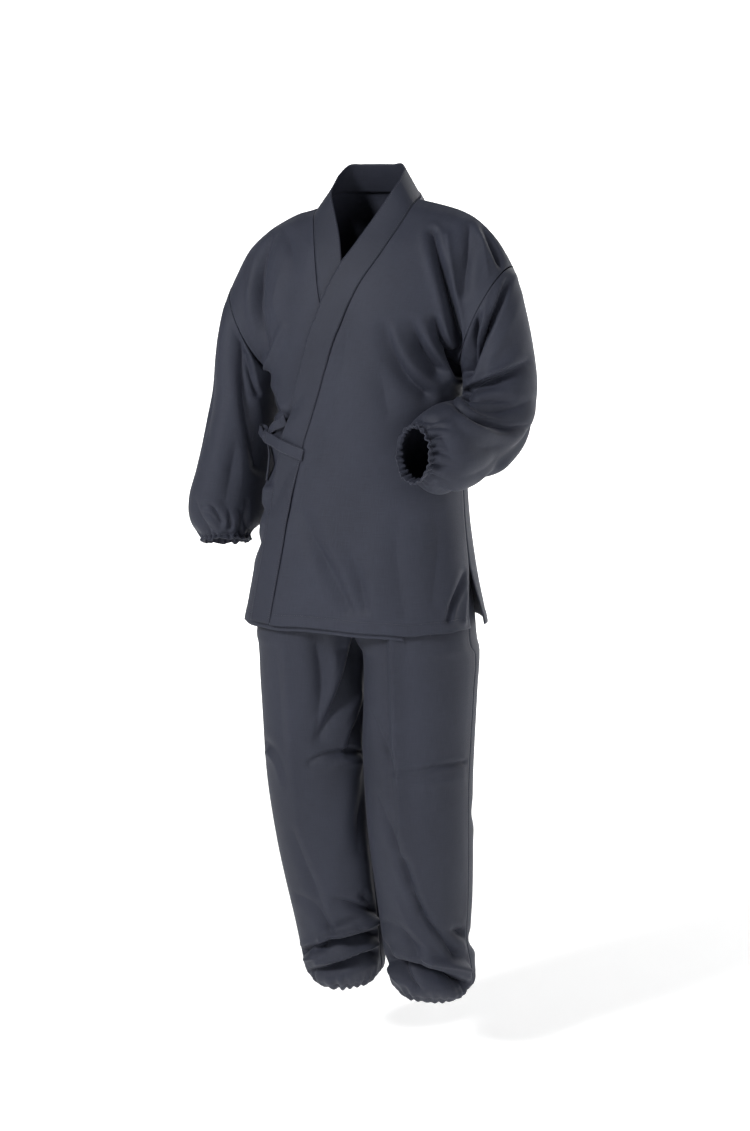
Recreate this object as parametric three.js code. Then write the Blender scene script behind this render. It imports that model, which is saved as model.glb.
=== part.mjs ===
// A samue: a crossed-front work jacket with gathered sleeves, and its trousers, filled out as when worn.
// Millimetres, +Z up, the front faces -Y and the wearer's left is +X. The origin is at the neck, level with the
// top of the shoulders, where the wearer holds the garment up. Every panel is a thin closed wall.
import * as THREE from 'three';

// ---------- driving dimensions ----------
const CLOTH = 1.6;            // wall of a single panel
const BAND_WALL = 2.6;        // the collar is folded double
const TIE_WALL = 2.0;
const SEAM_GAP = 0.3;         // clearance between two pieces that are sewn together
const BAND_WIDTH = 45;
const BAND_GAP = 0.6;         // the band is thicker than the panels, so its edge needs more clearance
const BAND_ROWS = 21;         // down each front
const NAPE_ROWS = 9;          // behind the neck
const BAND_START = 0.03;      // the share of the shoulder-to-underarm height where its front part begins
const BAND_STANDS = 0.3;      // it stands up above this share and lies flat below it
const HEM_Z = -668;
const UNDERARM_Z = -276;
const SIDE_LIFT = 12;         // the left side hangs this much higher than the middle, the right side lower
const SIDE_Y = 10;            // the side seams run at this depth
const VENT_TOP_Z = -562;      // the side seams are open below this height
const VENT_SPREAD = 14;       // each edge of a vent stands this far out of line at the hem
const VENT_FLARE = 0.4;       // and this share of it sideways
const OVER_LIFT = 3.6;        // the top front lies this far outside the garment's middle surface
const UNDER_DROP = -2.4;      // and the under front this far inside it
const ARMHOLE_FORE = 60;
const UNDERARM_EASE = 3;       // the sleeve's lowest point starts this far out from the side seam
const LEG_HEM_TILT = 9;

// Shoulder seams, from the neck to the sleeve. x is measured out from the middle.
const SHOULDER_LEFT = [
  { x: 0, z: 6 }, { x: 60, z: -4 }, { x: 88, z: -12 }, { x: 128, z: -21 }, { x: 160, z: -31 }, { x: 185, z: -46 },
  { x: 211, z: -73 }, { x: 234, z: -112 },
];
const SHOULDER_RIGHT = [
  { x: 0, z: 6 }, { x: 60, z: -14 }, { x: 83, z: -28 }, { x: 115, z: -37 }, { x: 150, z: -53 }, { x: 172, z: -66 },
  { x: 204, z: -94 }, { x: 234, z: -150 },
];
// How far each level has come forward or back from the shoulder seam to the full depth of the chest.
const CHEST_ROLL = [
  { w: 0, front: 0, back: 0 }, { w: 0.06, front: 0.24, back: 0.3 }, { w: 0.14, front: 0.42, back: 0.5 },
  { w: 0.28, front: 0.66, back: 0.74 }, { w: 0.48, front: 0.86, back: 0.92 }, { w: 0.72, front: 0.97, back: 1.0 },
  { w: 1, front: 1, back: 1 },
];
// Sections of the body below the armholes. left is how far the section is moved to the wearer's left.
const BODY = [
  { z: -276, half: 158, front: 116, back: 92, full: 2.3, left: 0 },
  { z: -330, half: 156, front: 117, back: 88, full: 2.35, left: 0 },
  { z: -400, half: 157, front: 117, back: 86, full: 2.4, left: -1 },
  { z: -455, half: 161, front: 118, back: 92, full: 2.5, left: -3 },
  { z: -520, half: 169, front: 122, back: 103, full: 2.6, left: -6 },
  { z: -600, half: 180, front: 127, back: 112, full: 2.75, left: -7 },
  { z: -680, half: 194, front: 131, back: 114, full: 2.9, left: -8 },
];
// The line where the collar band is sewn to each front, from the neck down.
const SEAM_LEFT = [
  { x: 88, z: -13 }, { x: 83, z: -34 }, { x: 72, z: -62 }, { x: 56, z: -95 }, { x: 31, z: -137 }, { x: 13, z: -175 },
  { x: -7, z: -225 }, { x: -25, z: -285 }, { x: -44, z: -345 }, { x: -58, z: -385 }, { x: -78, z: -464 },
  { x: -92, z: -543 }, { x: -106, z: -620 }, { x: -114, z: -668 },
];
const SEAM_RIGHT = [
  { x: -83, z: -28 }, { x: -78, z: -39 }, { x: -69, z: -57 }, { x: -58, z: -86 }, { x: -49, z: -118 }, { x: -38, z: -160 },
  { x: -19, z: -210 }, { x: 8, z: -272 }, { x: 34, z: -340 }, { x: 64, z: -440 }, { x: 86, z: -540 }, { x: 102, z: -620 },
  { x: 110, z: -668 },
];
// The middle of the back neckline.
const NAPE = { y: 64, z: 3 };

// Sleeve rings from the armhole to the ruffle. out and fore are half sizes; tilt, bend and yaw turn the ring,
// in degrees: tilt lifts its outer side, bend swings the arm forward and yaw turns the forearm inward.
const SLEEVE_LEFT = [
  { x: 196, y: 10, z: -188, out: 84, fore: 60, tilt: 63, bend: 0, yaw: 0 },
  { x: 206, y: 10, z: -222, out: 69, fore: 62, tilt: 48, bend: 0, yaw: 0 },
  { x: 214, y: 11, z: -258, out: 58, fore: 65, tilt: 33, bend: 8, yaw: 0 },
  { x: 219, y: 8, z: -294, out: 53, fore: 67, tilt: 18, bend: 22, yaw: 4 },
  { x: 220, y: -2, z: -327, out: 53, fore: 66, tilt: 8, bend: 42, yaw: 10 },
  { x: 215, y: -23, z: -349, out: 51, fore: 65, tilt: 2, bend: 62, yaw: 18 },
  { x: 205, y: -54, z: -363, out: 50, fore: 66, tilt: 0, bend: 78, yaw: 24 },
  { x: 194, y: -87, z: -372, out: 54, fore: 67, tilt: 0, bend: 86, yaw: 27 },
  { x: 180, y: -116, z: -377, out: 57, fore: 68, tilt: 0, bend: 88, yaw: 28 },
  { x: 168, y: -140, z: -379, out: 53, fore: 60, tilt: 0, bend: 89, yaw: 28 },
  { x: 160, y: -155, z: -380, out: 45, fore: 49, tilt: 0, bend: 90, yaw: 28 },
  { x: 155, y: -164, z: -380, out: 38, fore: 40, tilt: 0, bend: 90, yaw: 28 },
  { x: 151, y: -172, z: -380, out: 41, fore: 43, tilt: 0, bend: 90, yaw: 28 },
];
const SLEEVE_RIGHT = [
  { x: 196, y: 10, z: -219, out: 79, fore: 60, tilt: 61, bend: 0, yaw: 0 },
  { x: 205, y: 10, z: -250, out: 63, fore: 64, tilt: 46, bend: 0, yaw: 0 },
  { x: 212, y: 10, z: -287, out: 54, fore: 69, tilt: 31, bend: 0, yaw: 0 },
  { x: 217, y: 10, z: -326, out: 48, fore: 74, tilt: 19, bend: 2, yaw: 0 },
  { x: 224, y: 10, z: -368, out: 49, fore: 78, tilt: 11, bend: 4, yaw: 0 },
  { x: 232, y: 10, z: -412, out: 51, fore: 80, tilt: 6, bend: 6, yaw: 0 },
  { x: 240, y: 9, z: -452, out: 54, fore: 80, tilt: 3, bend: 7, yaw: 0 },
  { x: 249, y: 7, z: -487, out: 57, fore: 77, tilt: 0, bend: 8, yaw: 0 },
  { x: 253, y: 4, z: -514, out: 56, fore: 70, tilt: -3, bend: 8, yaw: 0 },
  { x: 253, y: 0, z: -533, out: 51, fore: 58, tilt: -4, bend: 8, yaw: 0 },
  { x: 250, y: -3, z: -545, out: 43, fore: 46, tilt: -5, bend: 8, yaw: 0 },
  { x: 248, y: -5, z: -553, out: 37, fore: 39, tilt: -5, bend: 8, yaw: 0 },
  { x: 247, y: -6, z: -561, out: 40, fore: 42, tilt: -5, bend: 8, yaw: 0 },
];
const SLEEVE_STEPS = 20;      // facets round a sleeve, doubled where it is gathered
const CUFF_WAVE = 3.4;        // height of the cuff's gathers
const ELASTIC_RING = 11;      // the row of the tables above where the elastic runs
const SLEEVE_ROWS = 15;
const CUFF_ROWS = 6;
const CUFF_FROM = 0.76;       // the share of the sleeve's length where its gathers begin
const SLEEVE_LONG = 420;
const DEGREE_ROUND_SLEEVE = 1.25; // how far a degree reaches round a sleeve

// Trouser sections for the left leg, from the waist down; the right leg mirrors them, moved by LEG_SHIFT.
// in: the seam at the middle or the inner leg, fore and aft: the fullest points front and back, sideLeft and sideRight: the outer seams.
const LEG = [
  { z: -392, inFront: -74, inBack: 70, inX: 0, midX: 52, fore: -78, aft: 74, sideLeft: 122, sideRight: 122 },
  { z: -440, inFront: -78, inBack: 76, inX: 0, midX: 56, fore: -82, aft: 82, sideLeft: 130, sideRight: 130 },
  { z: -500, inFront: -82, inBack: 88, inX: 0, midX: 60, fore: -87, aft: 94, sideLeft: 140, sideRight: 140 },
  { z: -560, inFront: -84, inBack: 97, inX: 0, midX: 68, fore: -92, aft: 108, sideLeft: 151, sideRight: 151 },
  { z: -620, inFront: -78, inBack: 88, inX: 0, midX: 80, fore: -97, aft: 107, sideLeft: 163, sideRight: 162 },
  { z: -665, inFront: -62, inBack: 70, inX: 1, midX: 91, fore: -102, aft: 100, sideLeft: 174, sideRight: 171 },
  { z: -698, inFront: -20, inBack: 38, inX: 3, midX: 93, fore: -101, aft: 98, sideLeft: 179, sideRight: 175 },
  { z: -712, inFront: 10, inBack: 12, inX: 5, midX: 93, fore: -100, aft: 96, sideLeft: 180, sideRight: 176 },
  { z: -770, inFront: 8, inBack: 10, inX: 7, midX: 93, fore: -95, aft: 90, sideLeft: 178, sideRight: 175 },
  { z: -860, inFront: 6, inBack: 8, inX: 8, midX: 93, fore: -86, aft: 84, sideLeft: 174, sideRight: 172 },
  { z: -950, inFront: 6, inBack: 8, inX: 9, midX: 92, fore: -80, aft: 82, sideLeft: 169, sideRight: 168 },
  { z: -1040, inFront: 14, inBack: 16, inX: 9, midX: 89, fore: -66, aft: 90, sideLeft: 162, sideRight: 164 },
  { z: -1120, inFront: 24, inBack: 26, inX: 10, midX: 86, fore: -50, aft: 98, sideLeft: 153, sideRight: 158 },
  { z: -1190, inFront: 34, inBack: 36, inX: 11, midX: 82, fore: -34, aft: 103, sideLeft: 144, sideRight: 152 },
  { z: -1236, inFront: 40, inBack: 42, inX: 12, midX: 80, fore: -24, aft: 104, sideLeft: 148, sideRight: 146 },
  { z: -1262, inFront: 44, inBack: 46, inX: 13, midX: 80, fore: -18, aft: 102, sideLeft: 149, sideRight: 141 },
  { z: -1278, inFront: 46, inBack: 48, inX: 20, midX: 80, fore: -6, aft: 94, sideLeft: 142, sideRight: 134 },
  { z: -1286, inFront: 47, inBack: 49, inX: 31, midX: 80, fore: 4, aft: 84, sideLeft: 131, sideRight: 124 },
];
const LEG_SHIFT = 17;         // the weight is on the left leg, so both feet stand this far to the left
const LEG_STEPS = 10;
const LEG_WAVE = 3.8;
const LEG_ROWS = 18;
const LEG_GATHER_ROWS = 5;
const LEG_GATHER_Z = -1226;
const CROTCH_Z = -706;
const DEGREE_ROUND_LEG = 1.3;

// Large folds. On the body x and z are where a fold starts and ends, seen from the front or back; negative depth
// is a trough. reach is its half width.
const BODY_FOLDS = {
  front_left: [
    { x0: 158, z0: -52, x1: 150, z1: -232, bow: 10, reach: 12, depth: -11 },
    { x0: 180, z0: -70, x1: 186, z1: -150, bow: -4, reach: 10, depth: -5 },
    { x0: 120, z0: -190, x1: 152, z1: -262, bow: 6, reach: 10, depth: -6 },
    { x0: 84, z0: -215, x1: 120, z1: -300, bow: 8, reach: 11, depth: -5 },
    { x0: 52, z0: -222, x1: 70, z1: -320, bow: 10, reach: 12, depth: -3.5 },
    { x0: 96, z0: -330, x1: 104, z1: -470, bow: -6, reach: 20, depth: -3.5 },
    { x0: 178, z0: -580, x1: 163, z1: -655, bow: 0, reach: 9, depth: -5 },
    { x0: 10, z0: -500, x1: 26, z1: -640, bow: 5, reach: 24, depth: -3.5 },
    { x0: 70, z0: -520, x1: 62, z1: -650, bow: 4, reach: 22, depth: 3 },
  ],
  front_right: [
    { x0: -160, z0: -70, x1: -150, z1: -262, bow: -8, reach: 12, depth: -10 },
    { x0: -122, z0: -150, x1: -146, z1: -280, bow: -6, reach: 12, depth: -5 },
    { x0: -104, z0: -250, x1: -132, z1: -350, bow: 0, reach: 14, depth: -4 },
  ],
  back: [
    { x0: 146, z0: -60, x1: 140, z1: -262, bow: -8, reach: 14, depth: -9 },
    { x0: -146, z0: -70, x1: -140, z1: -270, bow: 8, reach: 14, depth: -9 },
    { x0: 96, z0: -190, x1: 128, z1: -300, bow: -6, reach: 14, depth: -5 },
    { x0: -92, z0: -200, x1: -130, z1: -310, bow: 6, reach: 14, depth: -5 },
    { x0: 44, z0: -360, x1: 52, z1: -640, bow: 6, reach: 20, depth: -5 },
    { x0: -50, z0: -380, x1: -62, z1: -650, bow: -8, reach: 22, depth: -5 },
    { x0: 112, z0: -430, x1: 122, z1: -640, bow: -6, reach: 20, depth: -4 },
    { x0: -4, z0: -120, x1: 2, z1: -300, bow: 4, reach: 20, depth: -3 },
  ],
};
// On a sleeve, turn is the angle round it (0 outer side, 90 front, 180 inner side) and down runs from 0 at the
// armhole to 1 at the ruffle.
const SLEEVE_FOLDS = {
  left: [
    { turn0: 62, down0: 0.04, turn1: 112, down1: 0.42, reach: 13, depth: -7 },
    { turn0: 20, down0: 0.02, turn1: 96, down1: 0.46, reach: 14, depth: 6 },
    { turn0: 40, down0: 0.3, turn1: 100, down1: 0.5, reach: 12, depth: -8 },
    { turn0: 10, down0: 0.46, turn1: 84, down1: 0.56, reach: 12, depth: -8 },
    { turn0: 36, down0: 0.6, turn1: 86, down1: 0.5, reach: 12, depth: -7 },
    { turn0: -20, down0: 0.62, turn1: 60, down1: 0.66, reach: 12, depth: -5 },
    { turn0: 200, down0: 0.4, turn1: 150, down1: 0.52, reach: 14, depth: -7 },
    { turn0: 300, down0: 0.2, turn1: 330, down1: 0.5, reach: 16, depth: -5 },
    { turn0: 250, down0: 0.1, turn1: 262, down1: 0.36, reach: 16, depth: -5 },
  ],
  right: [
    { turn0: 100, down0: 0.05, turn1: 84, down1: 0.86, reach: 18, depth: -9 },
    { turn0: 50, down0: 0.02, turn1: 60, down1: 0.34, reach: 13, depth: -5 },
    { turn0: 132, down0: 0.06, turn1: 142, down1: 0.36, reach: 14, depth: -5 },
    { turn0: 20, down0: 0.5, turn1: 46, down1: 0.82, reach: 14, depth: -4 },
    { turn0: 300, down0: 0.1, turn1: 290, down1: 0.7, reach: 18, depth: -7 },
    { turn0: 240, down0: 0.2, turn1: 250, down1: 0.62, reach: 16, depth: -5 },
    { turn0: 340, down0: 0.66, turn1: 10, down1: 0.82, reach: 12, depth: -5 },
  ],
};
// On a leg, turn is the angle round its panel (0 inner seam, 90 middle, 180 outer seam) and z the height.
const LEG_FOLDS = {
  front_left: [
    { turn0: 84, z0: -640, turn1: 92, z1: -1180, reach: 9, depth: 4.5 },
    { turn0: 20, z0: -700, turn1: 60, z1: -780, reach: 16, depth: -6 },
    { turn0: 92, z0: -930, turn1: 160, z1: -912, reach: 14, depth: -5 },
    { turn0: 30, z0: -985, turn1: 84, z1: -1140, reach: 14, depth: -7 },
    { turn0: 72, z0: -1100, turn1: 130, z1: -1215, reach: 13, depth: -7 },
    { turn0: 14, z0: -1172, turn1: 96, z1: -1236, reach: 12, depth: -8 },
    { turn0: 110, z0: -1236, turn1: 170, z1: -1200, reach: 13, depth: -8 },
    { turn0: 20, z0: -1232, turn1: 150, z1: -1262, reach: 9, depth: 8 },
  ],
  front_right: [
    { turn0: 84, z0: -640, turn1: 92, z1: -1180, reach: 9, depth: 3.5 },
    { turn0: 14, z0: -690, turn1: 74, z1: -830, reach: 18, depth: -7 },
    { turn0: 20, z0: -906, turn1: 110, z1: -900, reach: 14, depth: -5 },
    { turn0: 20, z0: -1150, turn1: 74, z1: -1180, reach: 12, depth: -7 },
    { turn0: 96, z0: -1236, turn1: 130, z1: -1150, reach: 12, depth: -7 },
    { turn0: 40, z0: -1252, turn1: 96, z1: -1226, reach: 11, depth: -8 },
    { turn0: 130, z0: -1190, turn1: 172, z1: -1240, reach: 12, depth: -6 },
  ],
  back_left: [
    { turn0: 90, z0: -640, turn1: 94, z1: -1180, reach: 10, depth: 4 },
    { turn0: 20, z0: -740, turn1: 100, z1: -715, reach: 16, depth: -7 },
    { turn0: 20, z0: -930, turn1: 110, z1: -960, reach: 16, depth: -7 },
    { turn0: 60, z0: -1010, turn1: 150, z1: -980, reach: 14, depth: -5 },
    { turn0: 40, z0: -1150, turn1: 120, z1: -1205, reach: 14, depth: -8 },
    { turn0: 90, z0: -1236, turn1: 160, z1: -1200, reach: 12, depth: -7 },
  ],
  back_right: [
    { turn0: 90, z0: -640, turn1: 94, z1: -1180, reach: 10, depth: 4 },
    { turn0: 20, z0: -730, turn1: 90, z1: -712, reach: 16, depth: -7 },
    { turn0: 30, z0: -950, turn1: 120, z1: -925, reach: 16, depth: -7 },
    { turn0: 60, z0: -1140, turn1: 130, z1: -1190, reach: 14, depth: -8 },
    { turn0: 30, z0: -1216, turn1: 110, z1: -1240, reach: 12, depth: -7 },
  ],
};

// The ties, tied in a half bow at the wearer's right waist. on is how far a point lies outside the jacket's
// middle surface; x and z are as seen from the front.
const TIE_WIDTH = 19;
const TIE_KNOT = { x: -141, z: -381, on: 6.0, wide: 15, tall: 21, deep: 12.4 };
const TIE_TAIL = [
  { x: -136.4, z: -381.5, on: 7.4 }, { x: -120, z: -384, on: 8.6 }, { x: -98, z: -389, on: 8.2 },
  { x: -76, z: -395, on: 7.4 }, { x: -58, z: -400, on: 7.2 },
];
const TIE_ROOT = [
  { x: -98, z: -349, on: 1.7 }, { x: -108, z: -355, on: 1.6 }, { x: -120, z: -362, on: 2.2 }, { x: -137.6, z: -374.5, on: 4.2 },
];
const TIE_DROP = [
  { x: -142, z: -391.6, on: 4.6 }, { x: -144, z: -410, on: 2.6 }, { x: -147, z: -430, on: 2.0 }, { x: -149, z: -450, on: 1.9 },
];
const TIE_LOOP = [
  { x: -142.4, z: -378, on: 13.1 }, { x: -147, z: -374, on: 16 }, { x: -149.5, z: -372, on: 17 }, { x: -150.5, z: -371, on: 12 },
  { x: -149.8, z: -372, on: 7.4 }, { x: -147.6, z: -374, on: 4.6 },
];
const TIE_SIDE = [
  { x: -155.2, z: -386, on: 1.9 }, { x: -152, z: -386, on: 1.9 }, { x: -146, z: -384.6, on: 2.4 },
];

// ---------- colours ----------
const CLOTH_COLOUR = 0x3a3c48;
const BAND_COLOUR = 0x3d3f4b;

// ---------- small tools ----------
const mix = (a, b, t) => a + (b - a) * t;
const clamp01 = (t) => Math.min(1, Math.max(0, t));
const smooth = (t) => clamp01(t) ** 2 * (3 - 2 * clamp01(t));
const rad = THREE.MathUtils.degToRad;
const V = (x, y, z) => new THREE.Vector3(x, y, z);

// Reads column `name` of a table at `at` of column `key`, with a smooth curve through the rows.
function read(table, key, at, name) {
  const rising = table[table.length - 1][key] > table[0][key];
  const order = rising ? table : [...table].reverse();
  const last = order.length - 2;
  let i = 0;
  while (i < last && at > order[i + 1][key]) i += 1;
  const [k0, k1] = [order[i][key], order[i + 1][key]];
  const t = (at - k0) / (k1 - k0);
  const [p0, p1] = [order[i][name], order[i + 1][name]];
  const before = order[Math.max(0, i - 1)];
  const after = order[Math.min(order.length - 1, i + 2)];
  const slope = (a, b) => (b[key] === a[key] ? 0 : (b[name] - a[name]) / (b[key] - a[key]));
  const m0 = slope(before, order[i + 1]) * (k1 - k0);
  const m1 = slope(order[i], after) * (k1 - k0);
  if (t < 0 || t > 1) return mix(p0, p1, t);
  const [t2, t3] = [t * t, t * t * t];
  return (2 * t3 - 3 * t2 + 1) * p0 + (t3 - 2 * t2 + t) * m0 + (3 * t2 - 2 * t3) * p1 + (t3 - t2) * m1;
}

// The unit normal of a surface given by a function of u and v.
function normalAt(surface, u, v, du, dv) {
  const across = surface(u + du, v).sub(surface(u - du, v));
  const along = surface(u, v + dv).sub(surface(u, v - dv));
  return across.cross(along).normalize();
}

// Joins two neighbouring rows of point numbers; the second may be twice as fine as the first.
function joinRows(upper, lower, closed, put) {
  const cells = closed ? upper.length : upper.length - 1;
  const below = closed ? lower.length : lower.length - 1;
  const finer = below / cells;
  for (let i = 0; i < cells; i += 1) {
    const [a0, a1] = [upper[i], upper[(i + 1) % upper.length]];
    const b = [];
    for (let k = 0; k <= finer; k += 1) b.push(lower[(i * finer + k) % lower.length]);
    put(a0, b[0], b[1]);
    put(a0, b[1], a1);
    if (finer === 2) put(a1, b[1], b[2]);
  }
}

// A closed wall on rows of { p, n }: each point is moved out and in along n by half the thickness.
function wall(rows, thickness, closed) {
  const points = [];
  const faces = [];
  const number = (side) => rows.map((row) => row.map(({ p, n }) => {
    points.push(p.clone().addScaledVector(n, side * thickness / 2));
    return points.length - 1;
  }));
  const [outer, inner] = [number(1), number(-1)];
  const put = (a, b, c) => faces.push(a, b, c);
  const flip = (a, b, c) => faces.push(a, c, b);
  for (let r = 0; r + 1 < rows.length; r += 1) {
    joinRows(outer[r], outer[r + 1], closed, put);
    joinRows(inner[r], inner[r + 1], closed, flip);
  }
  const last = rows.length - 1;
  joinRows(inner[0], outer[0], closed, put);
  joinRows(inner[last], outer[last], closed, flip);
  if (!closed) {
    const edge = (sheet, end) => sheet.map((row) => row[end ? row.length - 1 : 0]);
    joinRows(edge(inner, 0), edge(outer, 0), false, flip);
    joinRows(edge(inner, 1), edge(outer, 1), false, put);
  }
  return solid(points, faces);
}

// A geometry from points and faces, turned right side out.
function solid(points, faces) {
  let volume = 0;
  for (let i = 0; i < faces.length; i += 3) {
    const [a, b, c] = [points[faces[i]], points[faces[i + 1]], points[faces[i + 2]]];
    volume += a.dot(b.clone().cross(c));
  }
  const index = [];
  for (let i = 0; i < faces.length; i += 3) {
    const [b, c] = volume > 0 ? [faces[i + 1], faces[i + 2]] : [faces[i + 2], faces[i + 1]];
    index.push(faces[i], b, c);
  }
  const geometry = new THREE.BufferGeometry();
  geometry.setAttribute('position', new THREE.Float32BufferAttribute(points.flatMap((p) => p.toArray()), 3));
  geometry.setIndex(index);
  geometry.computeVertexNormals();
  return geometry;
}

// How strongly a fold is felt at a point: 1 on its line, fading out past its half width and at both ends.
function foldPull(px, pz, fold, x0, z0, x1, z1) {
  const [dx, dz] = [x1 - x0, z1 - z0];
  const long = Math.hypot(dx, dz);
  const t = ((px - x0) * dx + (pz - z0) * dz) / (long * long);
  const bow = (fold.bow ?? 0) * Math.sin(Math.PI * clamp01(t));
  const off = ((px - x0) * dz - (pz - z0) * dx) / long - bow;
  const past = Math.max(0, -t, t - 1) * long;
  const fade = Math.exp(-((past / (1.6 * fold.reach)) ** 2)) * (0.45 + 0.55 * Math.sin(Math.PI * clamp01(t)));
  return fold.depth * fade * Math.exp(-((off / fold.reach) ** 2));
}

// ---------- the body of the jacket ----------
const levelOfZ = (q, z) => {
  const under = UNDERARM_Z + SIDE_LIFT * q;
  return 1 + (z - under) / (HEM_Z - under);
};

// The shoulder seam over q, which runs from -1 at the right sleeve to 1 at the left one. Behind the neck
// the line leaves the shoulders and follows the back neckline.
function shoulderLine(q, back) {
  const table = q < 0 ? SHOULDER_RIGHT : SHOULDER_LEFT;
  const tip = table[table.length - 1].x;
  const x = Math.abs(q) * tip;
  let y = SIDE_Y - 14 * smooth((tip - x) / 150);
  let z = read(table, 'x', x, 'z');
  const neck = table[2];
  if (back && x < neck.x) {
    const t = Math.sqrt(1 - (x / neck.x) ** 2);
    y = mix(y, NAPE.y, t);
    z = mix(z, NAPE.z, smooth(t));
  }
  return V(Math.sign(q) * x, y, z);
}

// The jacket's middle surface. way is -1 for the front and 1 for the back, w runs from 0 at the shoulder seam
// over 1 at the underarm to 2 at the hem.
function body(way, q, w) {
  if (w < 0) return body(-way, q, -w);
  const over = Math.abs(q) > 1;
  if (over && w >= 1) return body(-way, Math.sign(q) * (2 - Math.abs(q)), w);
  if (over) {
    const edge = body(way, Math.sign(q), w);
    return edge.multiplyScalar(2).sub(body(way, Math.sign(q) * (2 - Math.abs(q)), w));
  }
  const under = UNDERARM_Z + SIDE_LIFT * q;
  const z = w < 1 ? under : mix(under, HEM_Z, w - 1);
  const depth = read(BODY, 'z', z, way < 0 ? 'front' : 'back');
  const power = 2 / read(BODY, 'z', z, 'full');
  const turn = Math.PI / 2 * Math.abs(q);
  const round = Math.cos(turn) ** power;
  const x = Math.sign(q) * read(BODY, 'z', z, 'half') * Math.sin(turn) ** power + read(BODY, 'z', z, 'left');
  if (w >= 1) return V(x, SIDE_Y + way * depth * round, z);
  const seam = shoulderLine(q, way > 0);
  const roll = read(CHEST_ROLL, 'w', w, way < 0 ? 'front' : 'back');
  const swing = (1 - Math.cos(Math.PI * w)) / 2;
  const ease = mix(w, swing, Math.abs(q) ** 3);
  const chest = mix(1 - Math.abs(q) ** 2.4, round, w ** 3);
  const arm = ARMHOLE_FORE * Math.sin(Math.PI * w) * Math.abs(q) ** 5;
  const start = mix(seam.y, SIDE_Y, w);
  const y = start + (SIDE_Y + way * depth - start) * roll * chest + way * arm;
  return V(mix(seam.x, x, ease), y, mix(seam.z, z, ease));
}

// The place (q, w) on the front that shows at x and z.
function pin(x, z) {
  let q = x / 180;
  let w = z > UNDERARM_Z ? clamp01((z + 10) / UNDERARM_Z) : levelOfZ(0, z);
  const step = 1e-4;
  for (let turn = 0; turn < 40; turn += 1) {
    const here = body(-1, q, w);
    const byQ = body(-1, q + step, w).sub(here).divideScalar(step);
    const byW = body(-1, q, w + step).sub(here).divideScalar(step);
    const det = byQ.x * byW.z - byW.x * byQ.z;
    const [ex, ez] = [x - here.x, z - here.z];
    q += 0.6 * (ex * byW.z - byW.x * ez) / det;
    w = Math.max(0.0005, w + 0.6 * (byQ.x * ez - ex * byQ.z) / det);
  }
  return { q, w };
}

// The collar seam of one front as q over w.
function seamTrack(table) {
  const track = table.map(({ x, z }) => pin(x, z));
  track[0].w = 0;
  track[track.length - 1].w = 2;
  return track;
}
const trackLeft = seamTrack(SEAM_LEFT);
const trackRight = seamTrack(SEAM_RIGHT);

// How far a front lies outside or inside the middle surface: only where the two fronts cross.
function layer(side, q, w) {
  const toSide = side > 0 ? q : -q;
  const clear = smooth((0.94 - toSide) / 0.5) * smooth((w - 0.02) / 0.5);
  return (side > 0 ? OVER_LIFT : UNDER_DROP) * clear;
}

// Below the vents the fronts and the back part from each other.
function ventSpread(q, z) {
  const open = smooth((VENT_TOP_Z - z) / (VENT_TOP_Z - HEM_Z));
  return VENT_SPREAD * open * Math.abs(q) ** 6;
}

const BODY_SEAM = SEAM_GAP / 170;     // the side seams' clearance as a share of q
const SHOULDER_SEAM = SEAM_GAP / 260; // and the shoulder seams' as a share of w

// A row of the wall: the surface, lifted along its normal by the folds and the layer.
function bodyPoint(way, q, w, lift, folds) {
  const surface = (a, b) => body(way, a, b);
  const p = surface(q, w);
  const atNeck = way > 0 && Math.abs(q) < 0.42;
  const n = normalAt(surface, q, atNeck ? Math.max(w, 0.004) : w, 0.004, 0.003).multiplyScalar(way);
  if (n.dot(V(0, way, 0.6)) < 0 && n.x * q < 0) n.negate();
  const edge = smooth((1 - Math.abs(q)) / 0.12);
  const fromSeam = smooth(w / 0.12);
  let move = lift;
  for (const fold of folds) {
    move += edge * fromSeam * foldPull(p.x, p.z, fold, fold.x0, fold.z0, fold.x1, fold.z1);
  }
  p.addScaledVector(n, move);
  const spread = way * ventSpread(q, p.z);
  p.add(V(Math.sign(q) * spread * VENT_FLARE, spread, 0));
  return { p, n };
}

// Levels: close together over the shoulder's roll, wider down the body.
function levels(count) {
  const list = [];
  for (let i = 0; i <= count; i += 1) {
    const t = i / count;
    list.push(t < 0.42 ? (t / 0.42) ** 1.35 : 1 + (t - 0.42) / 0.58);
  }
  return list;
}

function frontPanel(side, columns, rows) {
  const track = side > 0 ? trackLeft : trackRight;
  const folds = BODY_FOLDS[side > 0 ? 'front_left' : 'front_right'];
  const grid = levels(rows).map((level) => {
    const w = Math.max(level, SHOULDER_SEAM);
    const inner = read(track, 'w', w, 'q') + side * BODY_SEAM;
    const outer = side * (1 - BODY_SEAM);
    const row = [];
    for (let i = 0; i <= columns; i += 1) {
      const q = mix(inner, outer, i / columns);
      row.push(bodyPoint(-1, q, w, layer(side, q, w), folds));
    }
    return row;
  });
  return wall(grid, CLOTH, false);
}

function backPanel(columns, rows) {
  const grid = levels(rows).map((level) => {
    const w = Math.max(level, SHOULDER_SEAM);
    const row = [];
    for (let i = 0; i <= columns; i += 1) {
      const t = 2 * i / columns - 1;
      const q = t * (1 - BODY_SEAM);
      row.push(bodyPoint(1, q, w, 0, BODY_FOLDS.back));
    }
    return row;
  });
  return wall(grid, CLOTH, false);
}

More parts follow.
